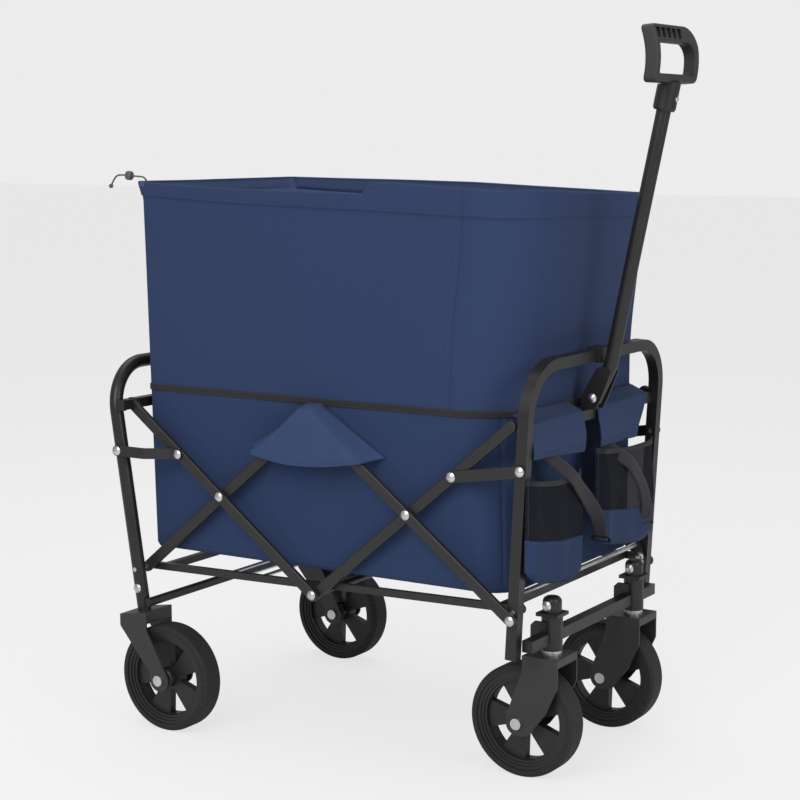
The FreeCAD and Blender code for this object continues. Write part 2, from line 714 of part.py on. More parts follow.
def front_bars():
    """Upper and lower crossbars between the front legs, the lower one broken at the housings."""
    low = bar_box("low_bar_blank", Vector(swivel.x - N.front_low_bar_back, 0, N.front_low_bar_z),
                  "front_low_bar", 2 * N.front_half - N.front_tube, "front_low_bar")
    sleeves = []
    for label, side in SIDES:
        sleeve = doc.addObject("Part::Cylinder", "low_bar_sleeve_" + label)
        bind(sleeve, "Radius", "housing_radius")
        sleeve.Height = 3 * N.front_low_bar
        sleeve_z = N.front_low_bar_z - 1.5 * N.front_low_bar
        sleeve.Placement.Base = Vector(swivel.x, side * N.front_track / 2, sleeve_z)
        notch = doc.addObject("Part::Box", "low_bar_notch_" + label)
        bind(notch, "Length", "2 * gusset_reach")
        bind(notch, "Width", "housing_radius + gusset_sheet")
        bind(notch, "Height", "3 * front_low_bar")
        notch.recompute()
        notch.Placement.Base = sleeve.Placement.Base - Vector(N.gusset_reach, notch.Width.Value, 0)
        sleeves += [sleeve, notch]
    both = doc.addObject("Part::MultiFuse", "low_bar_sleeves")
    both.Shapes = sleeves
    cut = doc.addObject("Part::Cut", "front_crossbar_lower")
    cut.Base = low
    cut.Tool = both
    node(cut, "front_crossbar_lower")
    node(bar_box("front_crossbar_upper", Vector(front_bar_x(), 0, N.front_bar_z),
                 "crossbar", 2 * N.front_half - N.front_tube, "crossbar"), "front_crossbar_upper")


def front_bar_x():
    return handle_pivot.x - 12.5


def caster_housing(name, side):
    """Tube for the caster's stem with a square flange, and a gusset plate that ties it to the crossbar."""
    body = new_body(name)
    bore = N.stem_radius + N.running_fit
    flange_top = housing_top() + N.flange_height
    section = new_sketch(body, "XZ_Plane", name + "_section")
    draw_outline(section, [
        (bore, housing_bottom()), (N.housing_radius, housing_bottom()), (N.housing_radius, flange_top),
        (0, flange_top), (0, housing_top()), (bore, housing_top())])
    tube = revolve(body, section, name + "_tube")
    flange = new_sketch(body, "XY_Plane", name + "_flange", housing_top())
    half = N.flange_side / 2
    draw_outline(flange, [(-half, -half), (half, -half), (half, half), (-half, half)])
    pad(body, flange, name + "_flange_plate", "flange_height")
    gusset = new_sketch(body, "XZ_Plane", name + "_gusset")
    foot = housing_bottom() + N.housing_gap
    top = foot + N.gusset_height
    round_by = N.boss_radius
    draw_outline(gusset, [
        (-N.gusset_reach, foot), (0, foot), (0, top), (round_by - N.gusset_reach, top),
        (-N.gusset_reach, top - round_by)])
    gusset.AttachmentOffset = FreeCAD.Placement(Vector(0, 0, N.housing_radius - 2), FreeCAD.Rotation())
    pad(body, gusset, name + "_gusset_plate", "gusset_sheet + 2")
    body.Placement.Base = Vector(swivel.x, side * N.front_track / 2, 0)


def cap_seat(side):
    return Vector(swivel.x, side * N.front_track / 2, housing_top() + N.flange_height)


def housing_caps():
    """Domed caps on the housings, each with a side boss for its pin."""
    solids = []
    for label, side in SIDES:
        seat = cap_seat(side)
        up = Vector(0, 0, 1)
        dome = cylinder(seat, up, N.cap_radius, N.cap_height)
        crown = [edge for edge in dome.Edges if edge.BoundBox.ZMin > seat.z + N.cap_height - 0.1]
        dome = dome.makeFillet(0.6 * N.cap_radius, crown)
        boss = cylinder(seat + up * N.boss_height, Vector(0, NEAR, 0), N.boss_radius, N.cap_radius + 4)
        solids.append(dome.fuse(boss).removeSplitter())
    shape_node("housing_caps", solids)


# ---------------------------------------------------------------- scissor, links and floor

def scissor_bar(name, start, end, holes, inside, side):
    """Flat bar with round ends and a hole for each rivet that it turns on."""
    body = new_body(name)
    along = (end - start).normalize()
    past = along * (N.bar_overhang - N.bar_height / 2)
    outline = new_sketch(body, "XZ_Plane", name + "_outline")
    first = start - past
    last = end + past
    draw_slot(outline, (first.x, first.z), (last.x, last.z), "bar_height")
    flat = pad(body, outline, name + "_flat", "bar_thickness", both_ways=True)
    half = N.bar_thickness / 2

    def face_edge(edge):
        return abs(abs(edge.CenterOfMass.y) - half) < 0.01 and edge.BoundBox.YLength < 0.01

    round_edges(body, flat, name + "_edges", "bar_edge", face_edge)
    drilled = new_sketch(body, "XZ_Plane", name + "_holes")
    for hole in holes:
        draw_circle(drilled, "rivet_radius + running_fit", hole.x, hole.z)
    doc.recompute()
    cut_through(body, drilled, name + "_drilled")
    body.Placement.Base = Vector(0, side * ((inner_bar if inside else outer_bar) + half), 0)


def slot_prism(start, end, width, near_y, far_y):
    """Solid with round ends about two points of the side view, between two planes."""
    along = (end - start).normalize()
    side = Vector(-along.z, 0, along.x) * (width / 2)
    first = at_y(start, near_y)
    last = at_y(end, near_y)
    reach = along * (width / 2)
    edges = [
        Part.LineSegment(first + side, last + side).toShape(),
        Part.Arc(last + side, last + reach, last - side).toShape(),
        Part.LineSegment(last - side, first - side).toShape(),
        Part.Arc(first - side, first - reach, first + side).toShape()]
    return Part.Face(Part.Wire(edges)).extrude(Vector(0, far_y - near_y, 0))


def cranked_plate(start, end, start_y, end_y, side):
    """Strip seen from above: flat at both ends, with a slanted middle between two planes."""
    thick = N.link_thickness
    x0 = start.x - N.link_height
    x1 = start.x + N.link_flat
    x2 = end.x - N.link_height * 0.8
    x3 = end.x + N.link_height
    plan = [(x0, start_y), (x1, start_y), (x2, end_y), (x3, end_y)]
    back = [(x, y + thick) for x, y in reversed(plan)]
    points = [Vector(x, side * y, start.z - 60) for x, y in plan + back]
    return Part.Face(Part.makePolygon(points + points[:1])).extrude(Vector(0, 0, 120))


def rear_links():
    """Links from the rear legs to the upper rear bars, cranked in past the legs."""
    links = []
    rivets = []
    leg_side = N.rear_half + N.rear_tube / 2 + N.clearance
    bar_side = outer_bar + N.bar_thickness + N.clearance
    for label, side in SIDES:
        near_face, far_face = side * (bar_side - 5), side * (leg_side + 9)
        strip = slot_prism(rear_leg_pin, rear_link_pin, N.link_height, near_face, far_face)
        strip = strip.common(cranked_plate(rear_leg_pin, rear_link_pin, leg_side, bar_side, side))
        for pin in (rear_leg_pin, rear_link_pin):
            start = at_y(pin, side * (bar_side - 9))
            drill = cylinder(start, Vector(0, side, 0), N.rivet_radius + N.running_fit, 60)
            strip = strip.cut(drill)
        links.append(strip)
        rivets.append(rivet(rear_link_pin, side, bar_side, bar_side + N.link_thickness))
    shape_node("rear_links", links)
    shape_node("rear_link_rivets", rivets)


def front_links():
    """Flat links from the front legs to the upper front bars."""
    links = []
    rivets = []
    face = N.front_half + N.front_tube / 2 + N.clearance
    for label, side in SIDES:
        faces = (side * face, side * (face + N.link_thickness))
        strip = slot_prism(front_link_pin, front_leg_pin, N.link_height, *faces)
        for pin in (front_link_pin, front_leg_pin):
            strip = strip.cut(cylinder(at_y(pin, side * (face - 9)), Vector(0, side, 0),
                                       N.rivet_radius + N.running_fit, 60))
        links.append(strip)
        rivets.append(rivet(front_link_pin, side, face, face + N.link_thickness))
    shape_node("front_links", links)
    shape_node("front_link_rivets", rivets)


def pin_rivets(pins):
    """Rivets on both sides, each given as its place and its two distances from the centre plane."""
    return [rivet(place, side, start, end) for place, start, end in pins for label, side in SIDES]


def upper_rear_crossbar():
    """Crossbar on the upper ends of the rear bars: a middle length and two outer ends with plastic caps."""
    middle = bar_box("crossbar_middle", rear_upper, "crossbar", 2 * outer_bar, "crossbar")
    pieces = [middle]
    caps = []
    face = outer_bar + N.bar_thickness
    for label, side in SIDES:
        stub = bar_box("crossbar_stub_" + label, at_y(rear_upper, side * (face + N.rear_bar_reach) / 2),
                       "crossbar", N.rear_bar_reach - face, "crossbar")
        pieces.append(stub)
        place = at_y(rear_upper, side * (N.rear_bar_reach + N.cap_length / 2))
        caps.append(bar_box("crossbar_cap_" + label, place,
                            "crossbar + 2", N.cap_length, "crossbar + 2"))
    for name, parts in (("rear_crossbar_upper", pieces), ("rear_crossbar_caps", caps)):
        group = doc.addObject("Part::Compound", name)
        group.Links = parts
        node(group, name)


def floor_rail(start, end, inner_y, side, hinge):
    """Rail with round ends and a hole at its hinge."""
    rail = slot_prism(start, end, N.rail_height, side * inner_y, side * (inner_y + N.rail_width))
    start = at_y(hinge, side * (inner_y - 5))
    drill = cylinder(start, Vector(0, side, 0), N.rivet_radius + N.running_fit, 40)
    return rail.cut(drill)


def cross_strip(centre, half, depth, thickness):
    """Flat bar across the cart, lying on the line of the floor rails."""
    strip = Part.makeBox(depth, 2 * half, thickness, Vector(-depth / 2, -half, -thickness / 2))
    strip.Placement = FreeCAD.Placement(centre, FreeCAD.Rotation(Vector(0, 1, 0), -floor_slope()))
    return strip


def floor_slope():
    span = floor_pivot - rear_pivot
    return math.degrees(math.atan2(span.z, span.x))


def floor_halves():
    """Floor frame in two halves that meet over the centre cross tube."""
    along = (floor_pivot - rear_pivot).normalize()
    rear = []
    front = []
    rod_place = Vector(front_foot.x - N.rod_back, 0, N.rod_z)
    for label, side in SIDES:
        rear.append(floor_rail(rear_pivot, floor_middle, rear_rail, side, rear_pivot))
        rail = floor_rail(floor_pivot, floor_middle, front_rail, side, floor_pivot)
        front.append(rail.fuse(floor_rail(floor_pivot, rod_place, front_rail, side, floor_pivot)))
    end_bar = along * N.end_bar_reach
    rear_bar = cross_strip(rear_pivot + end_bar, rear_rail, N.rail_height, N.rail_height)
    front_bar = cross_strip(floor_pivot - end_bar, front_rail, N.rail_height, N.rail_height)
    shape_node("floor_rear_frame", [rear[0].fuse([rear_bar, rear[1]]).removeSplitter()])
    shape_node("floor_front_frame", [front[0].fuse([front_bar, front[1]]).removeSplitter()])
    rod = cylinder(at_y(rod_place, -front_rail), Vector(0, 1, 0), N.rod_radius, 2 * front_rail)
    shape_node("front_rod", [rod])
    places = [rear_pivot + along * (N.slat_reach + step * N.slat_pitch) for step in (-1, 0, 1)]
    slats = [cross_strip(place, rear_rail, N.slat_depth, N.slat_thickness) for place in places]
    shape_node("floor_slats", slats)


# ---------------------------------------------------------------- handle

def handle_tube():
    """Tube with one bend at the knee, from its pivot up to the socket."""
    body = new_body("handle_tube")
    below = N.handle_leg_start
    start = handle_pivot - heading(90 - N.knee_angle) * below
    route = new_sketch(body, "XZ_Plane", "handle_route")
    turn = N.knee_angle - N.handle_lean
    cut_back = N.knee_radius * math.tan(math.radians(turn / 2))
    first = handle_knee - heading(90 - N.knee_angle) * cut_back
    second = handle_knee + handle_axis * cut_back
    middle_heading = heading(90 - (N.knee_angle + N.handle_lean) / 2)
    centre = first + Vector(-heading(90 - N.knee_angle).z, 0, heading(90 - N.knee_angle).x) * N.knee_radius
    outer = centre + Vector(middle_heading.z, 0, -middle_heading.x) * N.knee_radius
    flat = [Vector(point.x, point.z, 0) for point in (start, first, outer, second, handle_end)]
    route.addGeometry(Part.LineSegment(flat[0], flat[1]), False)
    route.addGeometry(Part.Arc(flat[1], flat[2], flat[3]), False)
    route.addGeometry(Part.LineSegment(flat[3], flat[4]), False)
    section = new_sketch(body, "XY_Plane", "handle_section")
    section.AttachmentOffset = FreeCAD.Placement(start, FreeCAD.Rotation(Vector(0, 1, 0), N.knee_angle))
    draw_circle(section, "handle_tube / 2")
    draw_circle(section, "handle_tube / 2 - tube_wall")
    pipe = body.newObject("PartDesign::AdditivePipe", "handle_bend")
    pipe.Profile = section
    pipe.Spine = (route, [])
    doc.recompute()
    hole = new_sketch(body, "XZ_Plane", "handle_pin_hole")
    draw_circle(hole, "rivet_radius + running_fit", handle_pivot.x, handle_pivot.z)
    cut_through(body, hole, "handle_pin_drilled")


def handle_socket():
    """Plastic socket at the top of the tube, swelling towards the grip."""
    body = new_body("handle_socket")
    section = new_sketch(body, "XZ_Plane", "socket_section")
    bore = N.handle_tube / 2 + N.running_fit
    low = -N.socket_length / 2
    slope = math.tan(math.radians(N.handle_lean - N.grip_lean))
    top = N.socket_length / 2 + slope * N.socket_radius
    draw_outline(section, [
        (bore, low), (N.socket_radius - 2, low), (N.socket_radius, low + 4), (N.socket_radius, top), (0, top),
        (0, N.running_fit), (bore, N.running_fit)])
    revolve(body, section, "socket_turned")
    waste = new_sketch(body, "XZ_Plane", "socket_top_waste")
    far = 2 * N.socket_radius
    face = N.socket_length / 2
    draw_outline(waste, [
        (-far, face - far * slope), (far, face + far * slope), (far, far + top), (-far, far + top)])
    body.Tip = cut_through(body, waste, "socket_top")
    body.Placement = FreeCAD.Placement(handle_end, FreeCAD.Rotation(Vector(0, 1, 0), N.handle_lean))


def handle_grip():
    """D-shaped grip across the cart: bowed faces, a round far corner and ribbed cells in the hand bar."""
    body = new_body("handle_grip")
    half = N.grip_half
    top = N.grip_height
    low_corners = [(-half, 0), (half, 0)]
    near_top, far_top = (-half, top), (half, top)
    profile = new_sketch(body, "XZ_Plane", "grip_profile")
    back, front, middle = -N.grip_depth / 2, N.grip_depth / 2, top / 2
    profile.addGeometry([
        Part.LineSegment(Vector(back, 0, 0), Vector(front, 0, 0)),
        Part.Arc(Vector(front, 0, 0), Vector(front + N.grip_bow, middle, 0), Vector(front, top, 0)),
        Part.LineSegment(Vector(front, top, 0), Vector(back, top, 0)),
        Part.Arc(Vector(back, top, 0), Vector(back + N.grip_bow, middle, 0), Vector(back, 0, 0))], False)
    pad(body, profile, "grip_block", "2 * grip_half", both_ways=True)
    inner = half - N.grip_side
    low_inside = [(-inner, N.grip_base), (inner, N.grip_base)]
    near_inside, far_inside = (-inner, top - N.grip_bar), (inner, top - N.grip_bar)
    hole = new_sketch(body, "YZ_Plane", "grip_opening")
    draw_outline(hole, low_inside + [far_inside, near_inside])
    step = cut_through(body, hole, "grip_hole")

    def at(points):
        def test(edge):
            box = edge.BoundBox
            straight = box.XLength > N.grip_depth - 1 and max(box.YLength, box.ZLength) < 0.01
            point = edge.Vertexes[0].Point
            return straight and any(math.hypot(point.y - y, point.z - z) < 0.01 for y, z in points)
        return test

    step = round_edges(body, step, "grip_corners", "grip_corner", at(low_corners + [near_top]))
    step = round_edges(body, step, "grip_far_corner", "grip_far_corner", at([far_top]))
    step = round_edges(body, step, "grip_inside_corners", "grip_inner_corner", at(low_inside + [near_inside]))
    step = round_edges(body, step, "grip_inside_far", "grip_inner_far_corner", at([far_inside]))

    def rim(edge):
        depth = edge.CenterOfMass.x
        return depth > N.grip_depth / 2 - 1 or depth < N.grip_bow - N.grip_depth / 2 + 1

    round_edges(body, step, "grip_edges", "grip_round", rim)
    cell = new_sketch(body, "YZ_Plane", "grip_cell")
    low = top - N.grip_bar + 6
    left = -inner - N.grip_side / 2
    slant = N.grip_cell / 3
    high = low + N.grip_cell
    right = left + N.grip_cell
    draw_outline(cell, [(left, low), (right - slant, low), (right, high), (left, high)])
    face = N.grip_depth / 2 + N.grip_bow
    cell.AttachmentOffset = FreeCAD.Placement(Vector(0, 0, face), FreeCAD.Rotation())
    hollow = body.newObject("PartDesign::Pocket", "grip_cell_hollow")
    hollow.Profile = cell
    bind(hollow, "Length", "grip_cell_depth + grip_bow / 2")
    doc.recompute()
    row = body.newObject("PartDesign::LinearPattern", "grip_cell_row")
    row.Originals = [hollow]
    row.Direction = (plane(body, "Y_Axis"), [""])
    bind(row, "Length", "(grip_cells - 1) * grip_pitch")
    bind(row, "Occurrences", "grip_cells")
    body.Tip = row
    body.Placement = FreeCAD.Placement(grip_foot, FreeCAD.Rotation(Vector(0, 1, 0), N.grip_lean))


def handle_bracket():
    """Pressed channel on the upper crossbar that holds the handle's pin and backs its knee."""
    body = new_body("handle_bracket")
    foot = N.front_bar_z + N.crossbar / 2
    pivot = handle_pivot
    outline = [
        (pivot.x - 23, foot), (pivot.x + 7, foot), (pivot.x + 17, pivot.z), (pivot.x + 36, pivot.z + 47),
        (pivot.x + 24, pivot.z + 56), (pivot.x + 8, pivot.z + 54), (pivot.x - 19.5, pivot.z + 5)]
    side = new_sketch(body, "XZ_Plane", "bracket_side")
    draw_outline(side, outline)
    width = "handle_tube + 2 * bracket_sheet + 2 * clearance"
    block = pad(body, side, "bracket_block", width, both_ways=True)

    def tip(edge):
        point = edge.Vertexes[0].Point
        return along_y(edge) and any(math.hypot(point.x - x, point.z - z) < 0.01 for x, z in outline[3:])

    rounded = round_edges(body, block, "bracket_tips", "bracket_corner", tip)
    doc.recompute()
    web = N.bracket_sheet + 0.5
    channel = new_sketch(body, "XZ_Plane", "bracket_inside")
    draw_outline(channel, [
        (pivot.x - 23 + web, foot + web), (pivot.x - 8, foot + web), (pivot.x - 8, foot - 5),
        (pivot.x + 90, foot - 5), (pivot.x + 90, pivot.z + 90),
        (pivot.x + 22, pivot.z + 90), (pivot.x + 8 + web, pivot.z + 54), (pivot.x - 19.5 + web, pivot.z + 5)])
    cut_slot(body, channel, "bracket_channel", "handle_tube + 2 * clearance")
    hole = new_sketch(body, "XZ_Plane", "bracket_hole")
    draw_circle(hole, "rivet_radius + running_fit", pivot.x, pivot.z)
    cut_through(body, hole, "bracket_drilled")


def handle_clip():
    """Clip that wraps the arch's top bar behind the handle."""
    rise = N.front_top - N.front_tube / 2 - N.front_foot_z
    centre = front_foot + front_leg * (rise / cosine(N.front_lean))
    outside = doc.addObject("Part::Box", "clip_outside")
    inside = doc.addObject("Part::Box", "clip_inside")
    for box, size in ((outside, "front_tube + 2 * bracket_sheet"), (inside, "front_tube + 2 * running_fit")):
        bind(box, "Length", size)
        bind(box, "Height", size)
        bind(box, "Width", "clip_width")
        box.recompute()
        half = (box.Length.Value / 2, box.Width.Value / 2)
        box.Placement.Base = Vector(-half[0], -half[1], -half[0])
    clip = doc.addObject("Part::Cut", "handle_clip")
    clip.Base = outside
    clip.Tool = inside
    clip.Placement = FreeCAD.Placement(centre, FreeCAD.Rotation(Vector(0, 1, 0), N.front_lean))
    node(clip, "handle_clip")


# ---------------------------------------------------------------- fabric

def bag():
    """Open bag: a tub with an upper part of the same plan, tied to each rear leg by a webbing tab."""
    outside = bag_solid(0, N.bag_floor, N.bag_rim)
    inside = bag_solid(N.bag_wall, N.bag_floor + N.bag_wall, N.bag_rim + 50)
    tabs = [bag_tab(side) for label, side in SIDES]
    shape_node("bag", [outside.cut(inside).fuse(tabs).Solids[0]])


def bag_tab(side):
    """Strip of webbing from a rear corner of the bag to the leg beside it, ending on the tube."""
    leg = at_y(rear_foot + rear_leg * ((N.tab_z - rear_foot.z) / cosine(N.rear_lean)), side * N.rear_half)
    rear_face = bag_rear - (N.tab_z - N.bag_floor) * math.tan(math.radians(N.bag_rear_lean))
    corner = Vector(rear_face + N.bag_corner, side * (N.bag_half - N.bag_corner), N.tab_z)
    way = (leg - corner).normalize()
    start = corner + way * (N.bag_corner - N.bag_wall / 2)
    across = way.cross(Vector(0, 0, 1)) * (N.strap_thickness / 2)
    down = Vector(0, 0, -N.strap_width / 2)
    outline = Part.makePolygon([start + across + down, leg + across + down, leg - across + down,
                                start - across + down, start + across + down])
    strip = Part.Face(outline).extrude(Vector(0, 0, N.strap_width))
    tube = cylinder(at_y(rear_foot, side * N.rear_half), rear_leg, N.rear_tube / 2, N.rear_top)
    return strip.cut(tube)


def bag_solid(inset, low, high):
    """Straight-sided solid between two heights, drawn in by an inset."""
    lean = math.tan(math.radians(N.bag_rear_lean))
    wires = []
    for z, fall in ((low, 0), (high, N.rim_fall)):
        rear = bag_rear - (z - N.bag_floor) * lean + inset
        front = bag_front - inset
        half = N.bag_half - inset
        round_by = N.bag_corner - inset
        plan = Part.makePolygon([
            Vector(rear, -half, z), Vector(front, -half, z - fall), Vector(front, half, z - fall),
            Vector(rear, half, z), Vector(rear, -half, z)])
        wires.append(round_plan(plan, round_by))
    return Part.makeLoft(wires, True, True)


def round_plan(plan, radius):
    """Wire with its four corners rounded."""
    points = [vertex.Point for vertex in plan.OrderedVertexes[:4]]
    edges = []
    count = len(points)
    starts = []
    for index, point in enumerate(points):
        before = (points[index - 1] - point).normalize()
        after = (points[(index + 1) % count] - point).normalize()
        middle = point + (before + after) * (radius * (1 - math.sqrt(0.5)))
        starts.append((point + before * radius, middle, point + after * radius))
    for index, (first, middle, last) in enumerate(starts):
        edges.append(Part.Arc(first, middle, last).toShape())
        edges.append(Part.LineSegment(last, starts[(index + 1) % count][0]).toShape())
    return Part.Wire(edges)


def side_flaps():
    """Flap on each side of the bag, tented over the bars' joint: sewn down at the sides and open below."""
    solids = []
    reach = outer_bar + N.bar_thickness + N.clearance + N.rivet_dome + 1 + N.flap_thickness
    base = N.bag_half + N.clearance
    for label, side in SIDES:
        outside = flap_loft(side, base, reach, 0)
        inside = flap_loft(side, base - 1, reach - N.flap_thickness, N.flap_thickness)
        solids.append(outside.cut(inside).Solids[0])
    shape_node("side_flaps", solids)


def flap_loft(side, base, reach, inset):
    """Solid between the flap's outline on the bag and its narrower outline over the bars."""
    wires = []
    for y, draw in ((base, 0), (reach, N.flap_draw)):
        crown = N.flap_crown - draw / 2 - inset
        tips = N.flap_half - draw - inset
        top = N.tub_rim - 5 + draw / 7 - inset
        drop = 3 * inset
        tip_low = N.flap_tips - drop
        corners = [Vector(high_centre.x + along, side * y, z) for along, z in (
            (-crown, top), (crown, top), (tips, N.flap_tips), (tips, tip_low), (-tips, tip_low),
            (-tips, N.flap_tips))]
        low = Vector(high_centre.x, side * y, N.flap_low - drop)
        if inset:
            edges = [Part.LineSegment(corners[index], corners[index + 1]).toShape() for index in (0, 1, 2)]
            edges += [Part.Arc(corners[3], low, corners[4]).toShape(),
                      Part.LineSegment(corners[4], corners[5]).toShape(),
                      Part.LineSegment(corners[5], corners[0]).toShape()]
        else:
            edges = [Part.LineSegment(corners[index], corners[index + 1]).toShape() for index in (0, 1)]
            edges += [Part.Arc(corners[2], low, corners[5]).toShape(),
                      Part.LineSegment(corners[5], corners[0]).toShape()]
        wires.append(Part.Wire(edges))
    return Part.makeLoft(wires, True, True)


def soft_block(low, high, radius):
    """Soft piece: a block with its upright edges along X rounded."""
    size = high - low
    block = Part.makeBox(size.x, size.y, size.z, low)
    along_x = [edge for edge in block.Edges if edge.BoundBox.XLength > size.x - 0.01]
    return block.makeFillet(radius, along_x)


def pockets():
    """Two pockets with their flaps and straps on the front of the frame."""
    back = front_pocket_plane()
    for label, (left, right, top, low) in POCKETS.items():
        shape_node("pocket_" + label, [soft_block(
            Vector(back, left, low), Vector(back + N.pocket_depth, right, top), N.pocket_corner)])
    flaps = []
    for label, (left, right, top, low) in FLAPS.items():
        face = back + N.pocket_depth + N.clearance
        flaps.append(soft_block(Vector(face, left, low), Vector(face + N.flap_thickness, right, top), 8))
    shape_node("pocket_flaps", flaps)
    straps = []
    for start, end in STRAPS:
        along = (end - start).normalize()
        across = Vector(0, -along.z, along.y) * (N.strap_width / 2)
        corners = [start + across, end + across, end - across, start - across, start + across]
        straps.append(Part.Face(Part.makePolygon(corners)).extrude(Vector(N.strap_thickness, 0, 0)))
    shape_node("pocket_straps", straps)


def front_pocket_plane():
    """Plane just ahead of the near front leg at the height of the near pocket's upper edge."""
    rise = POCKETS["near"][2] - N.front_foot_z
    lean = math.tan(math.radians(N.front_lean))
    return front_foot.x + N.front_tube / 2 / cosine(N.front_lean) + rise * lean + N.clearance


POCKETS = {
    "near": (-266, -82, 535, 354),
    "far": (4, 230, 552, 372),
}
FLAPS = {
    "near": (-280, -29, 650, 556),
    "far": (28, 231, 640, 556),
}


def strap_ends():
    """Upper and lower end of each strap, on the faces of the pockets."""
    face = front_pocket_plane() + N.pocket_depth + N.clearance
    return (
        (Vector(face, N.near_strap_top_y, N.near_strap_top), Vector(face, N.near_strap_low_y, N.strap_low)),
        (Vector(face, N.far_strap_top_y, N.far_strap_top), Vector(face, N.far_strap_low_y, N.strap_low)),
    )


STRAPS = strap_ends()


# ---------------------------------------------------------------- drawcord

CORD_ROUTE = (
    (-423.2, -234.0, 1006),
    (-424.1, -234.9, 1025),
    (-443, -243.5, 1026.5),
    (-472, -247, 1029),
    (-487, -246, 1028),
    (-496, -245, 1019),
    (-503, -244, 1008),
)


def drawcord():
    """Cord from the hem to its toggle: straight runs joined by tangent arcs."""
    points = [Vector(*point) for point in CORD_ROUTE]
    edges = []
    here = points[0]
    for index in range(1, len(points) - 1):
        before = points[index - 1] - points[index]
        after = points[index + 1] - points[index]
        shorter = min(before.Length, after.Length)
        turn = math.pi - before.getAngle(after)
        radius = 0.45 * shorter / math.tan(turn / 2)
        back = before.normalize() * 0.45 * shorter
        ahead = after.normalize() * 0.45 * shorter
        first = points[index] + back
        last = points[index] + ahead
        bisector = (back + ahead).normalize()
        middle = points[index] + bisector * (radius / math.cos(turn / 2) - radius)
        edges.append(Part.LineSegment(here, first).toShape())
        edges.append(Part.Arc(first, middle, last).toShape())
        here = last
    edges.append(Part.LineSegment(here, points[-1]).toShape())
    spine = Part.Wire(edges)
    start_heading = (points[1] - points[0]).normalize()
    profile = Part.Wire(Part.makeCircle(N.cord_radius, points[0], start_heading))
    tube = spine.makePipeShell([profile], True, False)
    shape_node("drawcord", [tube])


def cord_toggle():
    """Barrel toggle threaded on the cord's straight run beside the hem."""
    start, end = Vector(*CORD_ROUTE[2]), Vector(*CORD_ROUTE[3])
    along = (end - start).normalize()
    foot = (start + end) / 2 - along * (N.toggle_length / 2)
    barrel = cylinder(foot, along, N.toggle_radius, N.toggle_length)
    rims = [edge for edge in barrel.Edges if edge.Curve.TypeId == "Part::GeomCircle"]
    barrel = barrel.makeFillet(N.toggle_radius * 0.35, rims)
    bore = cylinder(foot - along, along, N.cord_radius + N.running_fit, N.toggle_length + 2)
    shape_node("cord_toggle", [barrel.cut(bore)])


# ---------------------------------------------------------------- assembly

def build_wheels():
    for label, side in SIDES:
        wheel("rear_" + label, at_y(rear_axle, side * N.rear_track / 2))
        wheel("front_" + label, at_y(front_axle, side * N.front_track / 2))


def build_rear_frame():
    bent_arch("rear_arch", rear_foot, -N.rear_lean, N.rear_half, N.rear_top, N.rear_bend, "rear_tube", True,
              (rear_pivot, rear_leg_pin, rear_low_rivet))
    rear_crossbar_lower()
    for label, side in SIDES:
        rear_fork("rear_fork_" + label, side)
    bolts = [wheel_bolt(rear_axle, side * N.rear_track / 2) for label, side in SIDES]
    shape_node("rear_bolts", bolts)
    leg_out = N.rear_half + N.rear_tube / 2
    leg_in = N.rear_half - N.rear_tube / 2
    shape_node("rear_rivets", pin_rivets((
        (rear_pivot, leg_out, rear_rail - N.clearance),
        (rear_low_rivet, leg_in, leg_out),
        (rear_leg_pin, leg_in, leg_out + N.link_thickness + 2 * N.clearance))))


def build_front_frame():
    bent_arch("front_arch", front_foot, N.front_lean, N.front_half, N.front_top, N.front_bend, "front_tube",
              False,
              (front_pivot, floor_pivot, front_leg_pin))
    front_bars()
    for label, side in SIDES:
        caster_housing("caster_housing_" + label, side)
    housing_caps()
    leg_out = N.front_half + N.front_tube / 2
    leg_in = N.front_half - N.front_tube / 2
    rivets = pin_rivets((
        (front_pivot, leg_in, outer_bar + N.bar_thickness + N.clearance),
        (front_leg_pin, leg_in, leg_out + N.link_thickness + 2 * N.clearance),
        (floor_pivot, leg_out, front_rail - N.clearance)))
    cheek = N.handle_tube / 2 + N.bracket_sheet + N.clearance
    boss_pins = []
    for label, side in SIDES:
        seat = cap_seat(side) + Vector(0, 0, N.boss_height)
        middle = -seat.y
        boss_pins.append(rivet(seat, NEAR, middle + N.cap_radius + 4, middle + N.cap_radius + 5))
    shape_node("front_rivets", rivets + boss_pins + [rivet(handle_pivot, NEAR, -cheek, cheek)])
    handle_bracket()
    handle_clip()


def build_scissor():
    outer = outer_bar + N.bar_thickness + N.clearance
    bars = (
        ("bar_rear_low", rear_pivot, high_centre, (rear_pivot, rear_cross), True),
        ("bar_rear_high", rear_upper, low_centre, (rear_cross, low_centre), False),
        ("bar_front_high", low_centre, front_upper, (low_centre, front_cross), True),
        ("bar_front_low", high_centre, front_pivot, (high_centre, front_cross, front_pivot), False),
    )
    for name, start, end, holes, inside in bars:
        for label, side in SIDES:
            scissor_bar(name + "_" + label, start, end, holes, inside, side)
    shape_node("rivets_rear_low", pin_rivets(((rear_cross, inner_bar, outer),)))
    shape_node("rivets_front_high", pin_rivets((
        (low_centre, inner_bar, outer), (front_cross, inner_bar, outer))))
    shape_node("rivets_front_low", pin_rivets((
        (high_centre, inner_bar + N.bar_thickness + N.clearance, outer),)))
    stay = cylinder(at_y(low_centre, -inner_bar), Vector(0, 1, 0), N.tube_stay / 2, 2 * inner_bar)
    shape_node("centre_tube", [stay])
    upper_rear_crossbar()
    rear_links()
    front_links()


def build_casters():
    for label, side in SIDES:
        caster_fork("caster_fork_" + label, side)
        caster_stem("caster_stem_" + label, side)


def build_handle():
    handle_tube()
    handle_socket()
    handle_grip()


def build_fabric():
    bag()
    side_flaps()
    pockets()
    drawcord()
    cord_toggle()


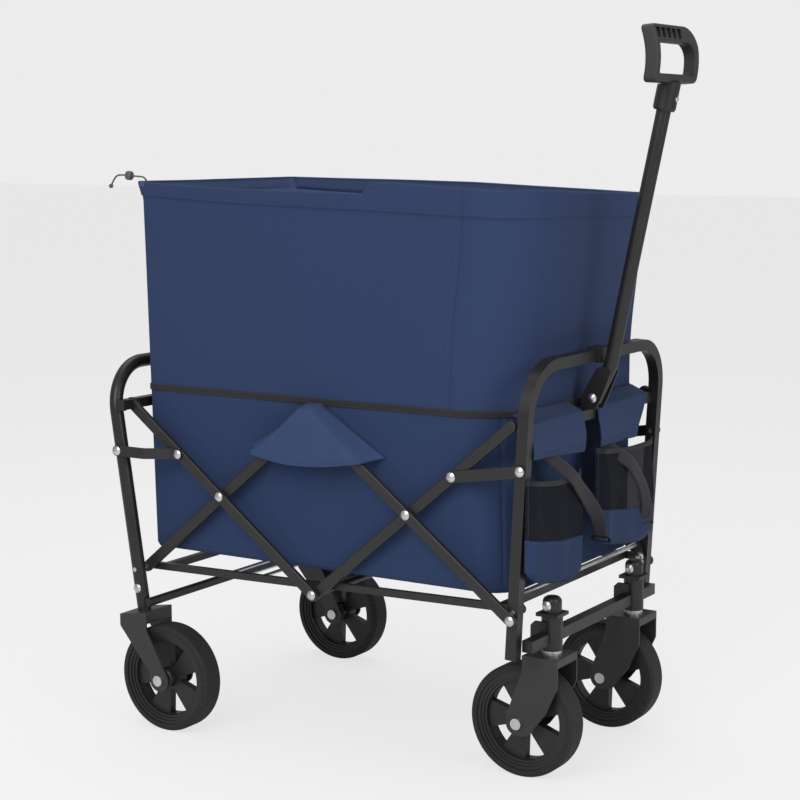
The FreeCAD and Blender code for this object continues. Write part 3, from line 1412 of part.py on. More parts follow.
def check_document():
    """Stop on any object that failed or has no sound shape."""
    for thing in doc.Objects:
        if "Invalid" in thing.State or "Error" in thing.State:
            raise RuntimeError(f"{thing.Label} failed: {thing.State}")
    for piece in nodes:
        if piece.Shape.isNull() or not piece.Shape.isValid():
            raise RuntimeError(f"{piece.Label} has no sound shape")


def centre_and_export():
    """Put the origin under the middle of the outline without the cord, and write the files."""
    outline = FreeCAD.BoundBox()
    for piece in nodes:
        if piece.Label not in ("drawcord", "cord_toggle"):
            outline.add(piece.Shape.optimalBoundingBox(False))
    shift = Vector(-outline.Center.x, -outline.Center.y, -outline.ZMin)
    os.makedirs("parts", exist_ok=True)
    for piece in nodes:
        piece.Placement.Base = piece.Placement.Base + shift
        piece.Shape.exportStep(f"parts/{piece.Label}.step")
    print(f"{len(nodes)} sub-parts, shift {shift.x:.3f} {shift.y:.3f} {shift.z:.3f}")
    print(f"outline {outline.XLength:.1f} x {outline.YLength:.1f} x {outline.ZLength:.1f}")
    return shift


build_wheels()
build_rear_frame()
build_front_frame()
build_scissor()
floor_halves()
build_casters()
build_handle()
build_fabric()
doc.recompute()
check_document()
origin_shift = centre_and_export()
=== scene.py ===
import math
import json

import bmesh
import bpy
from mathutils import Matrix, Vector, noise


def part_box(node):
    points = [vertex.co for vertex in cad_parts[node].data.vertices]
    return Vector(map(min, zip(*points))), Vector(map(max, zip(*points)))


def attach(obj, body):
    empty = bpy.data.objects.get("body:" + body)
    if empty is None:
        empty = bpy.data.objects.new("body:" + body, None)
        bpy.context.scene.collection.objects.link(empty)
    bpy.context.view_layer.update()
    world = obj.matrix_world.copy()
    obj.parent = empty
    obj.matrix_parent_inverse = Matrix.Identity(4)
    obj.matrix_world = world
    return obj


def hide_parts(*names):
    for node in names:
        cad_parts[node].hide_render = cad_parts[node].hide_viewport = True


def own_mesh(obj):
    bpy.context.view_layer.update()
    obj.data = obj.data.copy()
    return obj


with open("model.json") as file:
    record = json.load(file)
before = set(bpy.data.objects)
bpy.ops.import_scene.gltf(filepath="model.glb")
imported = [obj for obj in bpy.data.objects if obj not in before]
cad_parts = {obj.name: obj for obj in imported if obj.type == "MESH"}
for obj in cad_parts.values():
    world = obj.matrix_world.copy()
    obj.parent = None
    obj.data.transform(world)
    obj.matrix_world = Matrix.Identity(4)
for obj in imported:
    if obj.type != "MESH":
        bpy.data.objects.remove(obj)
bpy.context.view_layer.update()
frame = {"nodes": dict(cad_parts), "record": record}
nodes = frame["nodes"]


# ---------------- viewpoint
# The cart is seen from its near front quarter, a little above the rim of the bag, through a moderately
# long lens.
axles_middle = (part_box("tyre_rear_near")[0].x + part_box("tyre_front_near")[1].x) / 2
target = Vector((axles_middle - 0.0191, 0.0, 0.6109))
azimuth, elevation, distance = math.radians(31.99), math.radians(7.99), 3.5194
away = Vector((math.sin(azimuth) * math.cos(elevation), -math.cos(azimuth) * math.cos(elevation),
               math.sin(elevation)))
camera = bpy.data.objects.new("camera", bpy.data.cameras.new("camera"))
camera.data.lens = 84.6
camera.data.sensor_width = 36.0
camera.location = target + away * distance
camera.rotation_euler = (-away).to_track_quat("-Z", "Y").to_euler()
bpy.context.collection.objects.link(camera)
bpy.context.scene.camera = camera
bpy.context.scene.view_settings.view_transform = "Standard"


# ---------------- floor and light
# A plain pale floor and soft lamps, as in a small studio. The floor and the backdrop look evenly pale to the
# eye, and only the lamps and a dim sky light the cart.
class Value:
    """A number that varies over a surface. Sums and products of it add their own nodes."""

    def __init__(self, finish, socket):
        self.finish = finish
        self.socket = socket

    def sum(self, kind, first, second=None, third=None):
        entries = {index: entry for index, entry in enumerate((first, second, third)) if entry is not None}
        return self.finish.node("Math", {"operation": kind}, entries)

    def __add__(self, other):
        return self.sum("ADD", self, other)

    __radd__ = __add__

    def __sub__(self, other):
        return self.sum("SUBTRACT", self, other)

    def __rsub__(self, other):
        return self.sum("SUBTRACT", other, self)

    def __mul__(self, other):
        return self.sum("MULTIPLY", self, other)

    __rmul__ = __mul__

    def __pow__(self, other):
        return self.sum("POWER", self, other)

    def turn(self, other):
        return self.sum("ARCTAN2", self, other)

    def sine(self):
        return self.sum("SINE", self)

    def size(self):
        return self.sum("ABSOLUTE", self)

    def highest(self, other):
        return self.sum("MAXIMUM", self, other)


class Finish:
    """A material. Every node comes from node(), which takes its settings first and then its sockets."""

    def __init__(self, name, **constants):
        self.material = bpy.data.materials.new(name)
        self.material.use_nodes = True
        self.tree = self.material.node_tree
        self.shader = self.tree.nodes["Principled BSDF"]
        for socket, constant in constants.items():
            self.shader.inputs[socket.replace("_", " ")].default_value = constant

    def node(self, kind, settings, entries, output=0):
        made = self.tree.nodes.new("ShaderNode" + kind)
        for setting, choice in settings.items():
            setattr(made, setting, choice)
        for socket, entry in entries.items():
            self.enter(made.inputs[socket], entry)
        return Value(self, made.outputs[output])

    def enter(self, socket, entry):
        if isinstance(entry, Value):
            self.tree.links.new(entry.socket, socket)
        elif isinstance(entry, tuple) and socket.type == "RGBA" and len(entry) == 3:
            socket.default_value = (*entry, 1.0)
        else:
            socket.default_value = entry

    def give(self, **varying):
        for socket, entry in varying.items():
            self.enter(self.shader.inputs[socket.replace("_", " ")], entry)
        return self

    def place(self):
        return self.node("TexCoord", {}, {}, "Object")

    def along(self, layer="cloth"):
        return self.node("UVMap", {"uv_map": layer}, {}, "UV")

    def parts(self, vector):
        split = self.tree.nodes.new("ShaderNodeSeparateXYZ")
        self.enter(split.inputs[0], vector)
        return [Value(self, output) for output in split.outputs]

    def stretched(self, vector, scale, shift=(0.0, 0.0, 0.0)):
        return self.node("Mapping", {}, {"Vector": vector, "Location": shift, "Scale": scale})

    def cloud(self, vector, scale, detail=3.0, roughness=0.55):
        return self.node("TexNoise", {}, {
            "Vector": vector, "Scale": scale, "Detail": detail, "Roughness": roughness}, "Fac")

    def between(self, value, low, high, low_out=0.0, high_out=1.0):
        return self.node("MapRange", {"clamp": True}, {
            "Value": value, "From Min": low, "From Max": high, "To Min": low_out, "To Max": high_out})

    def blended(self, share, first, second):
        return self.node("Mix", {"data_type": "RGBA"}, {0: share, 6: first, 7: second}, 2)

    def relief(self, height, depth, strength=1.0, under=None):
        entries = {"Height": height, "Distance": depth, "Strength": strength}
        if under is not None:
            entries["Normal"] = under
        return self.node("Bump", {}, entries)


floor_half = 30.0
floor_mesh = bpy.data.meshes.new("floor")
floor_corners = [(x * floor_half, y * floor_half, 0.0) for x, y in ((-1, -1), (1, -1), (1, 1), (-1, 1))]
floor_mesh.from_pydata(floor_corners, [], [(0, 1, 2, 3)])
floor = bpy.data.objects.new("floor", floor_mesh)
bpy.context.collection.objects.link(floor)
floor_glow_share = 0.74
pale_floor = Finish("pale_floor", Base_Color=(0.88, 0.88, 0.88, 1.0), Roughness=0.9)
floor_mesh.materials.append(pale_floor.material)
glow = pale_floor.node("Emission", {}, {"Color": (0.95, 0.95, 0.95, 1.0), "Strength": 1.0})
eye = pale_floor.node("LightPath", {}, {}, "Is Camera Ray")
lit = Value(pale_floor, pale_floor.shader.outputs[0])
shown = pale_floor.node("MixShader", {}, {0: eye * floor_glow_share, 1: lit, 2: glow})
pale_floor.enter(pale_floor.tree.nodes["Material Output"].inputs["Surface"], shown)

world_light, world_seen = 0.42, 0.84
world = bpy.data.worlds.new("studio")
bpy.context.scene.world = world
world.use_nodes = True
backing = world.node_tree
rays = backing.nodes.new("ShaderNodeLightPath")
strength = backing.nodes.new("ShaderNodeMapRange")
strength.inputs["To Min"].default_value = world_light
strength.inputs["To Max"].default_value = world_seen
backing.links.new(rays.outputs["Is Camera Ray"], strength.inputs["Value"])
backing.links.new(strength.outputs[0], backing.nodes["Background"].inputs["Strength"])
backing.nodes["Background"].inputs["Color"].default_value = (1.0, 1.0, 1.0, 1.0)


def lamp(name, place, width, power):
    """Square lamp aimed at the middle of the cart."""
    light = bpy.data.lights.new(name, "AREA")
    light.shape = "SQUARE"
    light.size = width
    light.energy = power
    holder = bpy.data.objects.new(name, light)
    holder.location = place
    holder.rotation_euler = (lamp_aim - Vector(place)).to_track_quat("-Z", "Y").to_euler()
    bpy.context.collection.objects.link(holder)


lamp_aim = Vector((0.0, 0.0, 0.5))
lamp("key", (0.4, -3.4, 2.6), 2.4, 70.0)
lamp("fill", (3.4, -0.9, 1.8), 2.0, 34.0)
lamp("top", (-0.6, 0.6, 3.6), 2.4, 32.0)


# ---------------- painted steel frame
# Arches, legs, scissor bars, links and forks are mild steel, powder coated satin black after welding and
# drilling. The coat has a fine orange peel and is a little paler and duller where hands and dust reach it.
def scaled(colour, factor):
    return tuple(factor * part for part in colour)


def satin_black(name, base, roughness):
    """Powder coat of a given darkness."""
    coat = Finish(name, Specular_IOR_Level=0.45)
    spot = coat.place()
    peel = coat.cloud(spot, 900.0, 2.0)
    haze = coat.cloud(spot, 14.0)
    scuff = coat.between(coat.cloud(spot, 160.0, 4.0, 0.7), 0.64, 0.74)
    dark, pale = (base * 0.82, base * 0.80, base * 0.83), (base * 1.32, base * 1.27, base * 1.32)
    tone = coat.blended(haze, dark, pale)
    coat.give(Base_Color=coat.blended(scuff * 0.35, tone, (base * 3.0, base * 2.9, base * 3.0)),
              Roughness=coat.between(haze, 0.25, 0.75, roughness - 0.05, roughness + 0.09) + scuff * 0.1,
              Normal=coat.relief(peel, 0.00005, 0.5))
    return coat


def finish_node(name, finish):
    """Gives a node of the frame its finish."""
    mesh = nodes[name].data
    mesh.materials.clear()
    mesh.materials.append(finish.material)
    for face in mesh.polygons:
        face.material_index = 0


tube_steel = satin_black("tube_steel", 0.0135, 0.34)
bar_steel = satin_black("bar_steel", 0.018, 0.38)
for name in ("rear_arch", "rear_crossbar_lower", "rear_crossbar_upper", "front_arch", "front_crossbar_upper",
             "front_crossbar_lower", "centre_tube", "handle_tube", "handle_bracket", "caster_housing_near",
             "caster_housing_far"):
    finish_node(name, tube_steel)
for name in [name for name in nodes if name.startswith("bar_")] + [
        "rear_links", "front_links", "floor_rear_frame", "floor_front_frame"]:
    finish_node(name, bar_steel)
fork_steel = satin_black("fork_steel", 0.026, 0.40)
for name in ("rear_fork_near", "rear_fork_far", "caster_fork_near", "caster_fork_far"):
    finish_node(name, fork_steel)


# ---------------- rivets, bolts and rods
# Rivets, wheel bolts, caster stems, the front rod and the floor slats are zinc plated steel: bright, with the
# faint crystalline mottling of the plating.
zinc = Finish("zinc_plate", Metallic=1.0)
zinc_spot = zinc.place()
crystals = zinc.node("TexVoronoi", {"feature": "F1"}, {"Vector": zinc_spot, "Scale": 700.0}, "Distance")
grime = zinc.cloud(zinc_spot, 60.0)
zinc.give(Base_Color=zinc.blended(grime, (0.50, 0.50, 0.51), (0.80, 0.80, 0.80)),
          Roughness=zinc.between(crystals, 0.0, 0.8, 0.24, 0.40),
          Normal=zinc.relief(crystals, 0.00004, 0.4))
for name in ("rear_rivets", "rivets_rear_low", "rivets_front_high", "rivets_front_low", "rear_link_rivets",
             "front_link_rivets", "front_rivets", "rear_bolts", "caster_stem_near", "caster_stem_far",
             "front_rod", "floor_slats"):
    finish_node(name, zinc)


# ---------------- wheel rims
# Each rim is one moulding of charcoal polypropylene: a barrel, five spokes and a hub. The mould leaves a
# fine spark-eroded grain.
def moulded(name, base, roughness, grain=1400.0):
    """Moulded plastic with grain spots per metre."""
    plastic = Finish(name, Specular_IOR_Level=0.45)
    spot = plastic.place()
    pits = plastic.cloud(spot, grain, 2.0)
    dust = plastic.cloud(spot, 22.0, 4.0, 0.6)
    plastic.give(Base_Color=plastic.blended(dust, scaled(base, 0.85), scaled(base, 1.2)),
                 Roughness=plastic.between(dust, 0.3, 0.7, roughness - 0.04, roughness + 0.08),
                 Normal=plastic.relief(pits, 0.00006, 0.5))
    return plastic


rim_plastic = moulded("rim_plastic", (0.017, 0.0165, 0.019), 0.44)
for name in nodes:
    if name.startswith("rim_"):
        finish_node(name, rim_plastic)


# ---------------- tyres
# Soft charcoal rubber is moulded over each rim. The side is smooth with one faint step, and fine slanted
# ribs cross on the shoulders and the tread.
ribs_round, rib_slant = 54.0, 260.0
shoulder_start, shoulder_end, tread_start, tyre_edge = 0.0905, 0.0935, 0.095, 0.100
step_radius = 0.0845


def tyre_rubber(name, centre):
    """Rubber with its pattern turned about a wheel's own centre."""
    rubber = Finish(name, Specular_IOR_Level=0.35)
    spot = rubber.place()
    across, side, up = rubber.parts(rubber.stretched(spot, (1.0, 1.0, 1.0), tuple(-part for part in centre)))
    angle = up.turn(across)
    radius = (across * across + up * up) ** 0.5
    left, right = angle * ribs_round + side * rib_slant, angle * ribs_round - side * rib_slant
    tread = rubber.between(radius, shoulder_start, shoulder_end)
    grooves = rubber.between(left.sine().highest(right.sine()), 0.1, 0.6) * tread
    ring = rubber.between((radius - step_radius).size(), 0.0004, 0.0010, 1.0, 0.0)
    dust = rubber.cloud(spot, 26.0, 4.0, 0.62)
    grain = rubber.cloud(spot, 1100.0, 2.0)
    # The tread band is painted paler all round the wheel: partly rubbed rubber, partly a painted highlight.
    tread_wear_and_highlight = rubber.between(radius, tread_start, tyre_edge) * 0.25
    tone = rubber.blended(dust, (0.014, 0.0135, 0.0155), (0.025, 0.0243, 0.0265))
    rubber.give(Base_Color=rubber.blended(tread_wear_and_highlight, tone, (0.036, 0.035, 0.036)),
                Roughness=rubber.between(dust, 0.3, 0.7, 0.62, 0.80),
                Normal=rubber.relief(grooves - ring, 0.0011, 0.9, rubber.relief(grain, 0.00008, 0.5)))
    return rubber


for name in nodes:
    if name.startswith("tyre_"):
        low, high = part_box(name)
        finish_node(name, tyre_rubber("rubber_" + name, (low + high) / 2))


# ---------------- plastic caps, clip and socket
# The housing caps, crossbar caps, handle clip and the socket under the grip are black nylon mouldings.
black_nylon = moulded("black_nylon", (0.014, 0.0137, 0.015), 0.34)
for name in ("housing_caps", "rear_crossbar_caps", "handle_clip", "handle_socket"):
    finish_node(name, black_nylon)


# ---------------- grip
# The pull handle's grip is one stout moulding of dark grey nylon with a coarse, dry grain.
grip_plastic = moulded("grip_plastic", (0.025, 0.0235, 0.027), 0.48, 900.0)
finish_node("handle_grip", grip_plastic)


# ---------------- bag cloth
# The bag is navy oxford polyester, plain woven and lightly coated. Its map is in metres along the cloth, so
# the threads run round and up the walls at the same size everywhere.
thread_pitch = 0.0010


def oxford(name, base):
    """Coated weave of a given colour."""
    cloth = Finish(name, Specular_IOR_Level=0.10, Sheen_Weight=0.03, Sheen_Roughness=0.55)
    along, up = cloth.parts(cloth.along())[:2]
    count = 2.0 * math.pi / thread_pitch
    weave = (along * count).sine() * (up * count).sine()
    spot = cloth.place()
    slubs = cloth.cloud(cloth.stretched(spot, (1.0, 1.0, 14.0)), 60.0, 3.0)
    pucker = cloth.cloud(spot, 26.0, 4.0, 0.6)
    shade = cloth.cloud(spot, 5.0)
    tone = cloth.blended(shade * 0.6 + slubs * 0.4, scaled(base, 0.90), scaled(base, 1.10))
    cloth.give(Base_Color=cloth.blended(cloth.between(weave, -1.0, 1.0) * 0.22, tone, scaled(base, 0.6)),
               Roughness=cloth.between(shade, 0.3, 0.7, 0.70, 0.84),
               Normal=cloth.relief(weave, 0.00010, 0.45, cloth.relief(pucker, 0.0016, 0.35)))
    return cloth


upper_cloth = oxford("upper_cloth", (0.031, 0.051, 0.124))
tub_cloth = oxford("tub_cloth", (0.029, 0.050, 0.120))
coated_back = oxford("coated_back", (0.060, 0.090, 0.195))


def grid_mesh(name, rows, closed=False):
    """Mesh through rows of (place, along, up). Closed rows join their last place to their first."""
    mesh = bpy.data.meshes.new(name)
    width = len(rows[0])
    used = width - 1 if closed else width
    places = [place for row in rows for place, along, up in row[:used]]
    faces, corners = [], []
    for upper in range(1, len(rows)):
        for column in range(width - 1):
            ring = ((upper - 1, column), (upper - 1, column + 1), (upper, column + 1), (upper, column))
            faces.append([row * used + step % used for row, step in ring])
            corners += [rows[row][step][1:] for row, step in ring]
    mesh.from_pydata([tuple(place) for place in places], [], faces)
    layer = mesh.uv_layers.new(name="cloth")
    for entry, corner in zip(layer.data, corners):
        entry.uv = corner
    mesh.shade_smooth()
    return mesh


def put(name, mesh, finish, body):
    """Piece at the origin that rides on a body."""
    piece = bpy.data.objects.new(name, mesh)
    bpy.context.collection.objects.link(piece)
    mesh.materials.clear()
    mesh.materials.append(finish.material)
    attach(piece, body)
    return piece


def evaluated(holder):
    """Mesh of an object with its modifiers. The object itself goes."""
    made = bpy.data.meshes.new_from_object(holder.evaluated_get(bpy.context.evaluated_depsgraph_get()))
    bpy.data.objects.remove(holder)
    return made


def cloth_piece(name, rows, thickness, finish, body, offset=-1.0, closed=False):
    """Piece of cloth through rows, with its thickness inwards unless offset says otherwise."""
    mesh = grid_mesh(name, rows, closed)
    holder = bpy.data.objects.new(name, mesh)
    bpy.context.collection.objects.link(holder)
    solid = holder.modifiers.new("thickness", "SOLIDIFY")
    solid.thickness = thickness
    solid.offset = offset
    return put(name, evaluated(holder), finish, body)


cloth_ease = 1.02


def declare_sheet(piece, width):
    """Length of a cloth from its modelled area over its width, with a little ease. The result is not kept."""
    area = sum(face.area for face in piece.data.polygons) / 2
    area / width * cloth_ease


def smooth(value, low, high):
    """0 below low, 1 above high and an even curve between them."""
    share = min(1.0, max(0.0, (value - low) / (high - low)))
    return share * share * (3.0 - 2.0 * share)


def hump(share, power=1.0):
    """0 at both ends of a share and 1 in its middle."""
    return max(0.0, math.sin(math.pi * min(1.0, max(0.0, share)))) ** power


front_wall, side_wall, rear_wall = 0.026, 0.026, 0.010
opening = next(entry for entry in frame["record"]["physics"]["openings"] if entry["name"] == "bag_inside")
bag_back, bag_front = opening["box_m"][0][0] - rear_wall, opening["box_m"][1][0] + front_wall
bag_half = opening["box_m"][1][1] + side_wall
bag_floor, tub_rim, bag_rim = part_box("bag")[0].z, 0.636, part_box("bag")[1].z
back_slope = math.tan(math.radians(1.8))
rear_corner, far_corner = 0.011, 0.026
near_corner_low, near_corner_growth = 0.060, 0.050
front_flare = 0.023
upper_seam, tub_seam = 0.993, 0.5


def stations():
    """Columns of cloth round the bag: its side, how far along the side, and the turn round its far corner."""
    columns = []
    for side, count, turns in (("near", 84, 16), ("front", 40, 16), ("far", 84, 4), ("rear", 54, 4)):
        columns += [(side, step / count, 0.0) for step in range(count + 1)]
        columns += [(side, 1.0, turn / turns) for turn in range(1, turns)]
    columns += [("near", upper_seam + shift / 690.0, 0.0) for shift in (-5, -2.5, 0, 2.5)]
    columns += [("near", 1.0, tub_seam + shift / 172.0) for shift in (-5, -2.5, 2.5, 5)]
    order = ("near", "front", "far", "rear")
    columns.sort(key=lambda column: (order.index(column[0]), column[1], column[2]))
    return columns + [columns[0]]


def wall_place(column, height, out):
    """Place on the bag's wall, a distance outside its plan. The front corners are wide curves."""
    side, share, turn = column
    near_corner = near_corner_low + near_corner_growth * smooth(height, bag_floor, tub_rim)
    front_face = bag_front + front_flare * smooth(height, tub_rim + 0.05, bag_rim - 0.03)
    back = bag_back - (height - bag_floor) * back_slope
    starts = {"near": (back + rear_corner, -bag_half), "front": (front_face, near_corner - bag_half),
              "far": (front_face - far_corner, bag_half), "rear": (back, bag_half - rear_corner)}
    ends = {"near": (front_face - near_corner, -bag_half), "front": (front_face, bag_half - far_corner),
            "far": (back + rear_corner, bag_half), "rear": (back, rear_corner - bag_half)}
    heading = math.radians({"near": -90.0, "front": 0.0, "far": 90.0, "rear": 180.0}[side])
    radius = {"near": near_corner, "front": far_corner}.get(side, rear_corner)
    x = starts[side][0] + (ends[side][0] - starts[side][0]) * share
    y = starts[side][1] + (ends[side][1] - starts[side][1]) * share
    facing = heading + math.pi / 2 * turn
    x += radius * (math.cos(facing) - math.cos(heading)) + out * math.cos(facing)
    y += radius * (math.sin(facing) - math.sin(heading)) + out * math.sin(facing)
    return Vector((x, y, height))


def cloth_length(columns):
    """Distance along the cloth of each column."""
    along, total, last = [], 0.0, None
    for column in columns:
        place = wall_place(column, bag_floor, 0.0)
        total += (place - last).length if last is not None else 0.0
        along.append(total)
        last = place
    return along


broad_depth, middle_depth = 0.0030, 0.0012


def creases(place, seed, fine):
    """Soft unevenness of hung cloth, from broad waves to small puckers."""
    broad = noise.noise(Vector((place.x * 3.1, place.y * 3.1, place.z * 1.7 + seed)))
    middle = noise.noise(Vector((place.x * 8.0 + place.z * 3.0, place.y * 8.0, place.z * 5.0 + seed)))
    small = noise.noise(Vector((place.x * 24.0, place.y * 24.0, place.z * 19.0 + seed)))
    return broad_depth * broad + middle_depth * middle + fine * small


# ---------------- bag tub
# The lower half of the bag is a box of one wall strip sewn to a floor panel. It sags inwards between the
# scissor bars and the load would fill it out. A piped seam runs up near each front corner.
columns = stations()
along_cloth = cloth_length(columns)
tub_sag, tub_foot, foot_round = 0.0065, 0.005, 0.010
tub_piping, piping_reach = 0.0018, 0.024
floor_dome, floor_width = 0.0035, 0.24
tub_thickness = 0.0022


def tub_out(column, height):
    """How far the tub's cloth stands outside its plan."""
    place = wall_place(column, height, 0.0)
    across = hump(column[1], 0.6)
    rise = (height - bag_floor) / (tub_rim - bag_floor)
    sag = -tub_sag * across * hump(rise * 1.05, 0.8)
    crease = creases(place, 3.0, 0.0004) * (0.35 + 0.65 * across)
    groove = 0.0
    if column[0] == "near" and column[2] > 0.0:
        groove = -tub_piping * max(0.0, 1.0 - abs(column[2] - tub_seam) / piping_reach)
    foot = -tub_foot * (1.0 - smooth(height, bag_floor, bag_floor + foot_round))
    return min(0.0, sag + crease) + groove + foot


tub_rows = []
middle = Vector(((bag_back + bag_front) / 2, 0.0, bag_floor))
for ring in range(9):
    share = ring / 9
    row = []
    for column, along in zip(columns, along_cloth):
        edge = wall_place(column, bag_floor, tub_out(column, bag_floor))
        place = middle.lerp(edge, 0.0004 + 0.9996 * share)
        place.z = bag_floor + 0.0012 + floor_dome * (1.0 - share ** 4) + 0.0012 * noise.noise(place * 9.0)
        row.append((place, along, bag_floor - (1.0 - share) * floor_width))
    tub_rows.append(row)
wall_start = bag_floor + foot_round
tub_heights = [bag_floor + 0.0012, bag_floor + 0.003, bag_floor + 0.006, wall_start]
tub_heights += [wall_start + (tub_rim - bag_floor - foot_round) * step / 34 for step in range(1, 35)]
for height in tub_heights:
    tub_rows.append([(wall_place(column, height, tub_out(column, height)), along, height)
                     for column, along in zip(columns, along_cloth)])
tub = cloth_piece("bag_tub", tub_rows, tub_thickness, tub_cloth, "rear_frame", closed=True)
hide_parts("bag")


# ---------------- bag upper
# The upper half is a plain skirt sewn to the tub's edge, paler on its coated inside. It stands a little
# proud of the tub and ends in a folded hem that carries the drawcord, pulled down along the near side.
def between(value, stops):
    """Value on the line through stops of (place, value)."""
    for (start, first), (end, second) in zip(stops, stops[1:]):
        if value <= end:
            return first + (second - first) * max(0.0, value - start) / (end - start)
    return stops[-1][1]


near_rim = ((-0.434, 1.0175), (-0.390, 1.0140), (-0.250, 1.0080), (0.060, 1.0030), (0.072, 1.0215),
            (0.110, 1.0235), (0.210, 1.0180), (0.346, 1.0115))
near_seam = ((-0.434, 0.9915), (-0.250, 0.9820), (0.072, 0.9735), (0.210, 0.9685), (0.346, 0.9640))
front_rim = ((-0.134, 1.0115), (0.0, 1.0045), (0.244, 0.9985))
front_seam = ((-0.134, 0.9640), (0.244, 0.9550))
rear_rim = ((-0.434, 1.0175), (0.0, 1.0120), (0.346, 0.9985))
rear_seam = ((-0.434, 0.9915), (0.346, 0.9550))
upper_belly, rim_flick, flick_height = 0.0060, 0.007, 0.035
seam_depth, seam_reach = 0.0026, 0.0055
hem_steps = ((0.01, 0.0014), (0.06, 0.0019), (0.35, 0.0015), (0.65, 0.0016), (0.90, 0.0016), (0.97, 0.0009),
             (1.0, -0.0004))
upper_start = tub_rim - 0.002
upper_thickness = 0.0024


def hem_edge(column, near, front, rear):
    """Height on the line of stops that a side of the bag has."""
    place = wall_place(column, bag_rim, 0.0)
    if column[0] == "front":
        return between(place.y, front)
    return between(place.x - axles_middle, near if column[0] == "near" else rear)


def rim_height(column):
    """Height of the rim. The near hem is pulled down towards the rear and steps up over its lapped end."""
    place = wall_place(column, bag_rim, 0.0)
    wave = 0.0010 * noise.noise(Vector((place.x * 6.0, place.y * 6.0, 1.7)))
    return hem_edge(column, near_rim, front_rim, rear_rim) + wave


def hem_height(column, share):
    """Height on the hem, from its lower seam to the rim."""
    seam = hem_edge(column, near_seam, front_seam, rear_seam)
    return seam + (rim_height(column) - seam) * share


def upper_out(column, height):
    """How far the upper half's cloth stands outside its plan."""
    place = wall_place(column, height, 0.0)
    across = hump(column[1], 0.55)
    rise = (height - tub_rim) / (bag_rim - tub_rim)
    belly = upper_belly * across * hump(rise, 0.9)
    crease = creases(place, 8.0, 0.0002) * (0.25 + 0.75 * across)
    groove = 0.0
    if column[0] == "near" and column[2] == 0.0:
        groove = -seam_depth * max(0.0, 1.0 - abs(column[1] - upper_seam) / seam_reach)
    flick = 0.0
    if column[0] == "rear" or (column[0] == "far" and column[2]):
        flick = rim_flick * smooth(height, bag_rim - flick_height, bag_rim)
    return belly + crease + groove + flick


upper_rows = []
for step in range(41):
    upper_rows.append([])
    for column, along in zip(columns, along_cloth):
        height = upper_start + (hem_height(column, 0.0) - upper_start) * step / 40
        upper_rows[-1].append((wall_place(column, height, upper_out(column, height)), along, height))
for share, proud in hem_steps:
    upper_rows.append([])
    for column, along in zip(columns, along_cloth):
        height = hem_height(column, share)
        upper_rows[-1].append((wall_place(column, height, upper_out(column, height) + proud), along, height))
upper = cloth_piece("bag_upper", upper_rows, upper_thickness, upper_cloth, "rear_frame",
                    closed=True)
upper.data.materials.append(coated_back.material)
for face in upper.data.polygons:
    outwards = face.center - middle
    face.material_index = 1 if face.normal.x * outwards.x + face.normal.y * outwards.y < 0.0 else 0


# ---------------- binding
# A black grosgrain ribbon covers the seam between the tub and the upper half.
def webbing(name, base, rib=0.0022):
    """Woven band with ribs across it at a spacing."""
    band = Finish(name, Specular_IOR_Level=0.25, Sheen_Weight=0.1, Sheen_Roughness=0.5)
    along, up = band.parts(band.along())[:2]
    ribs = (along * (2.0 * math.pi / rib)).sine()
    threads = (up * (2.0 * math.pi / (rib * 0.45))).sine()
    wear = band.cloud(band.place(), 45.0, 4.0, 0.6)
    band.give(Base_Color=band.blended(wear, scaled(base, 0.8), scaled(base, 1.35)),
              Roughness=band.between(wear, 0.3, 0.7, 0.68, 0.82),
              Normal=band.relief(ribs + threads * 0.5, 0.00022, 0.7))
    return band


ribbon_cloth = webbing("binding_ribbon", (0.020, 0.020, 0.022))
ribbon_half, ribbon_lift, ribbon_crown, ribbon_thickness = 0.0062, 0.0004, 0.0020, 0.0010
ribbon_rows = []
for turn in range(9):
    angle = math.pi * (turn / 8 - 0.5)
    rise, proud = ribbon_half * math.sin(angle), ribbon_lift + ribbon_crown * hump(turn / 8, 0.4)
    row = []
    for column, along in zip(columns, along_cloth):
        wave = 0.0010 * noise.noise(Vector((along * 5.0, 2.0, 0.0)))
        height = tub_rim + rise + wave
        base = max(upper_out(column, tub_rim), tub_out(column, tub_rim))
        row.append((wall_place(column, height, base + proud), along, height))
    ribbon_rows.append(row)
binding = cloth_piece("bag_binding", ribbon_rows, ribbon_thickness, ribbon_cloth, "rear_frame",
                      closed=True)


# ---------------- stitching
# Navy polyester thread holds the hem, the seams and the binding: rows of short lockstitches that sink a
# little into the cloth.
stitch_length, stitch_thickness, stitch_spacing = 0.0034, 0.0009, 0.0046


def smooth_mesh(name, shape):
    """Smooth mesh from a shape."""
    mesh = bpy.data.meshes.new(name)
    shape.to_mesh(mesh)
    shape.free()
    mesh.shade_smooth()
    return mesh


def stitch_object():
    """Low stitch shape along X."""
    shape = bmesh.new()
    bmesh.ops.create_uvsphere(shape, u_segments=6, v_segments=5, radius=0.5)
    bmesh.ops.rotate(shape, verts=shape.verts, matrix=Matrix.Rotation(math.pi / 2, 3, "Y"))
    bmesh.ops.scale(shape, verts=shape.verts, vec=(stitch_length, stitch_thickness, stitch_thickness))
    return bpy.data.objects.new("stitch", smooth_mesh("stitch", shape))


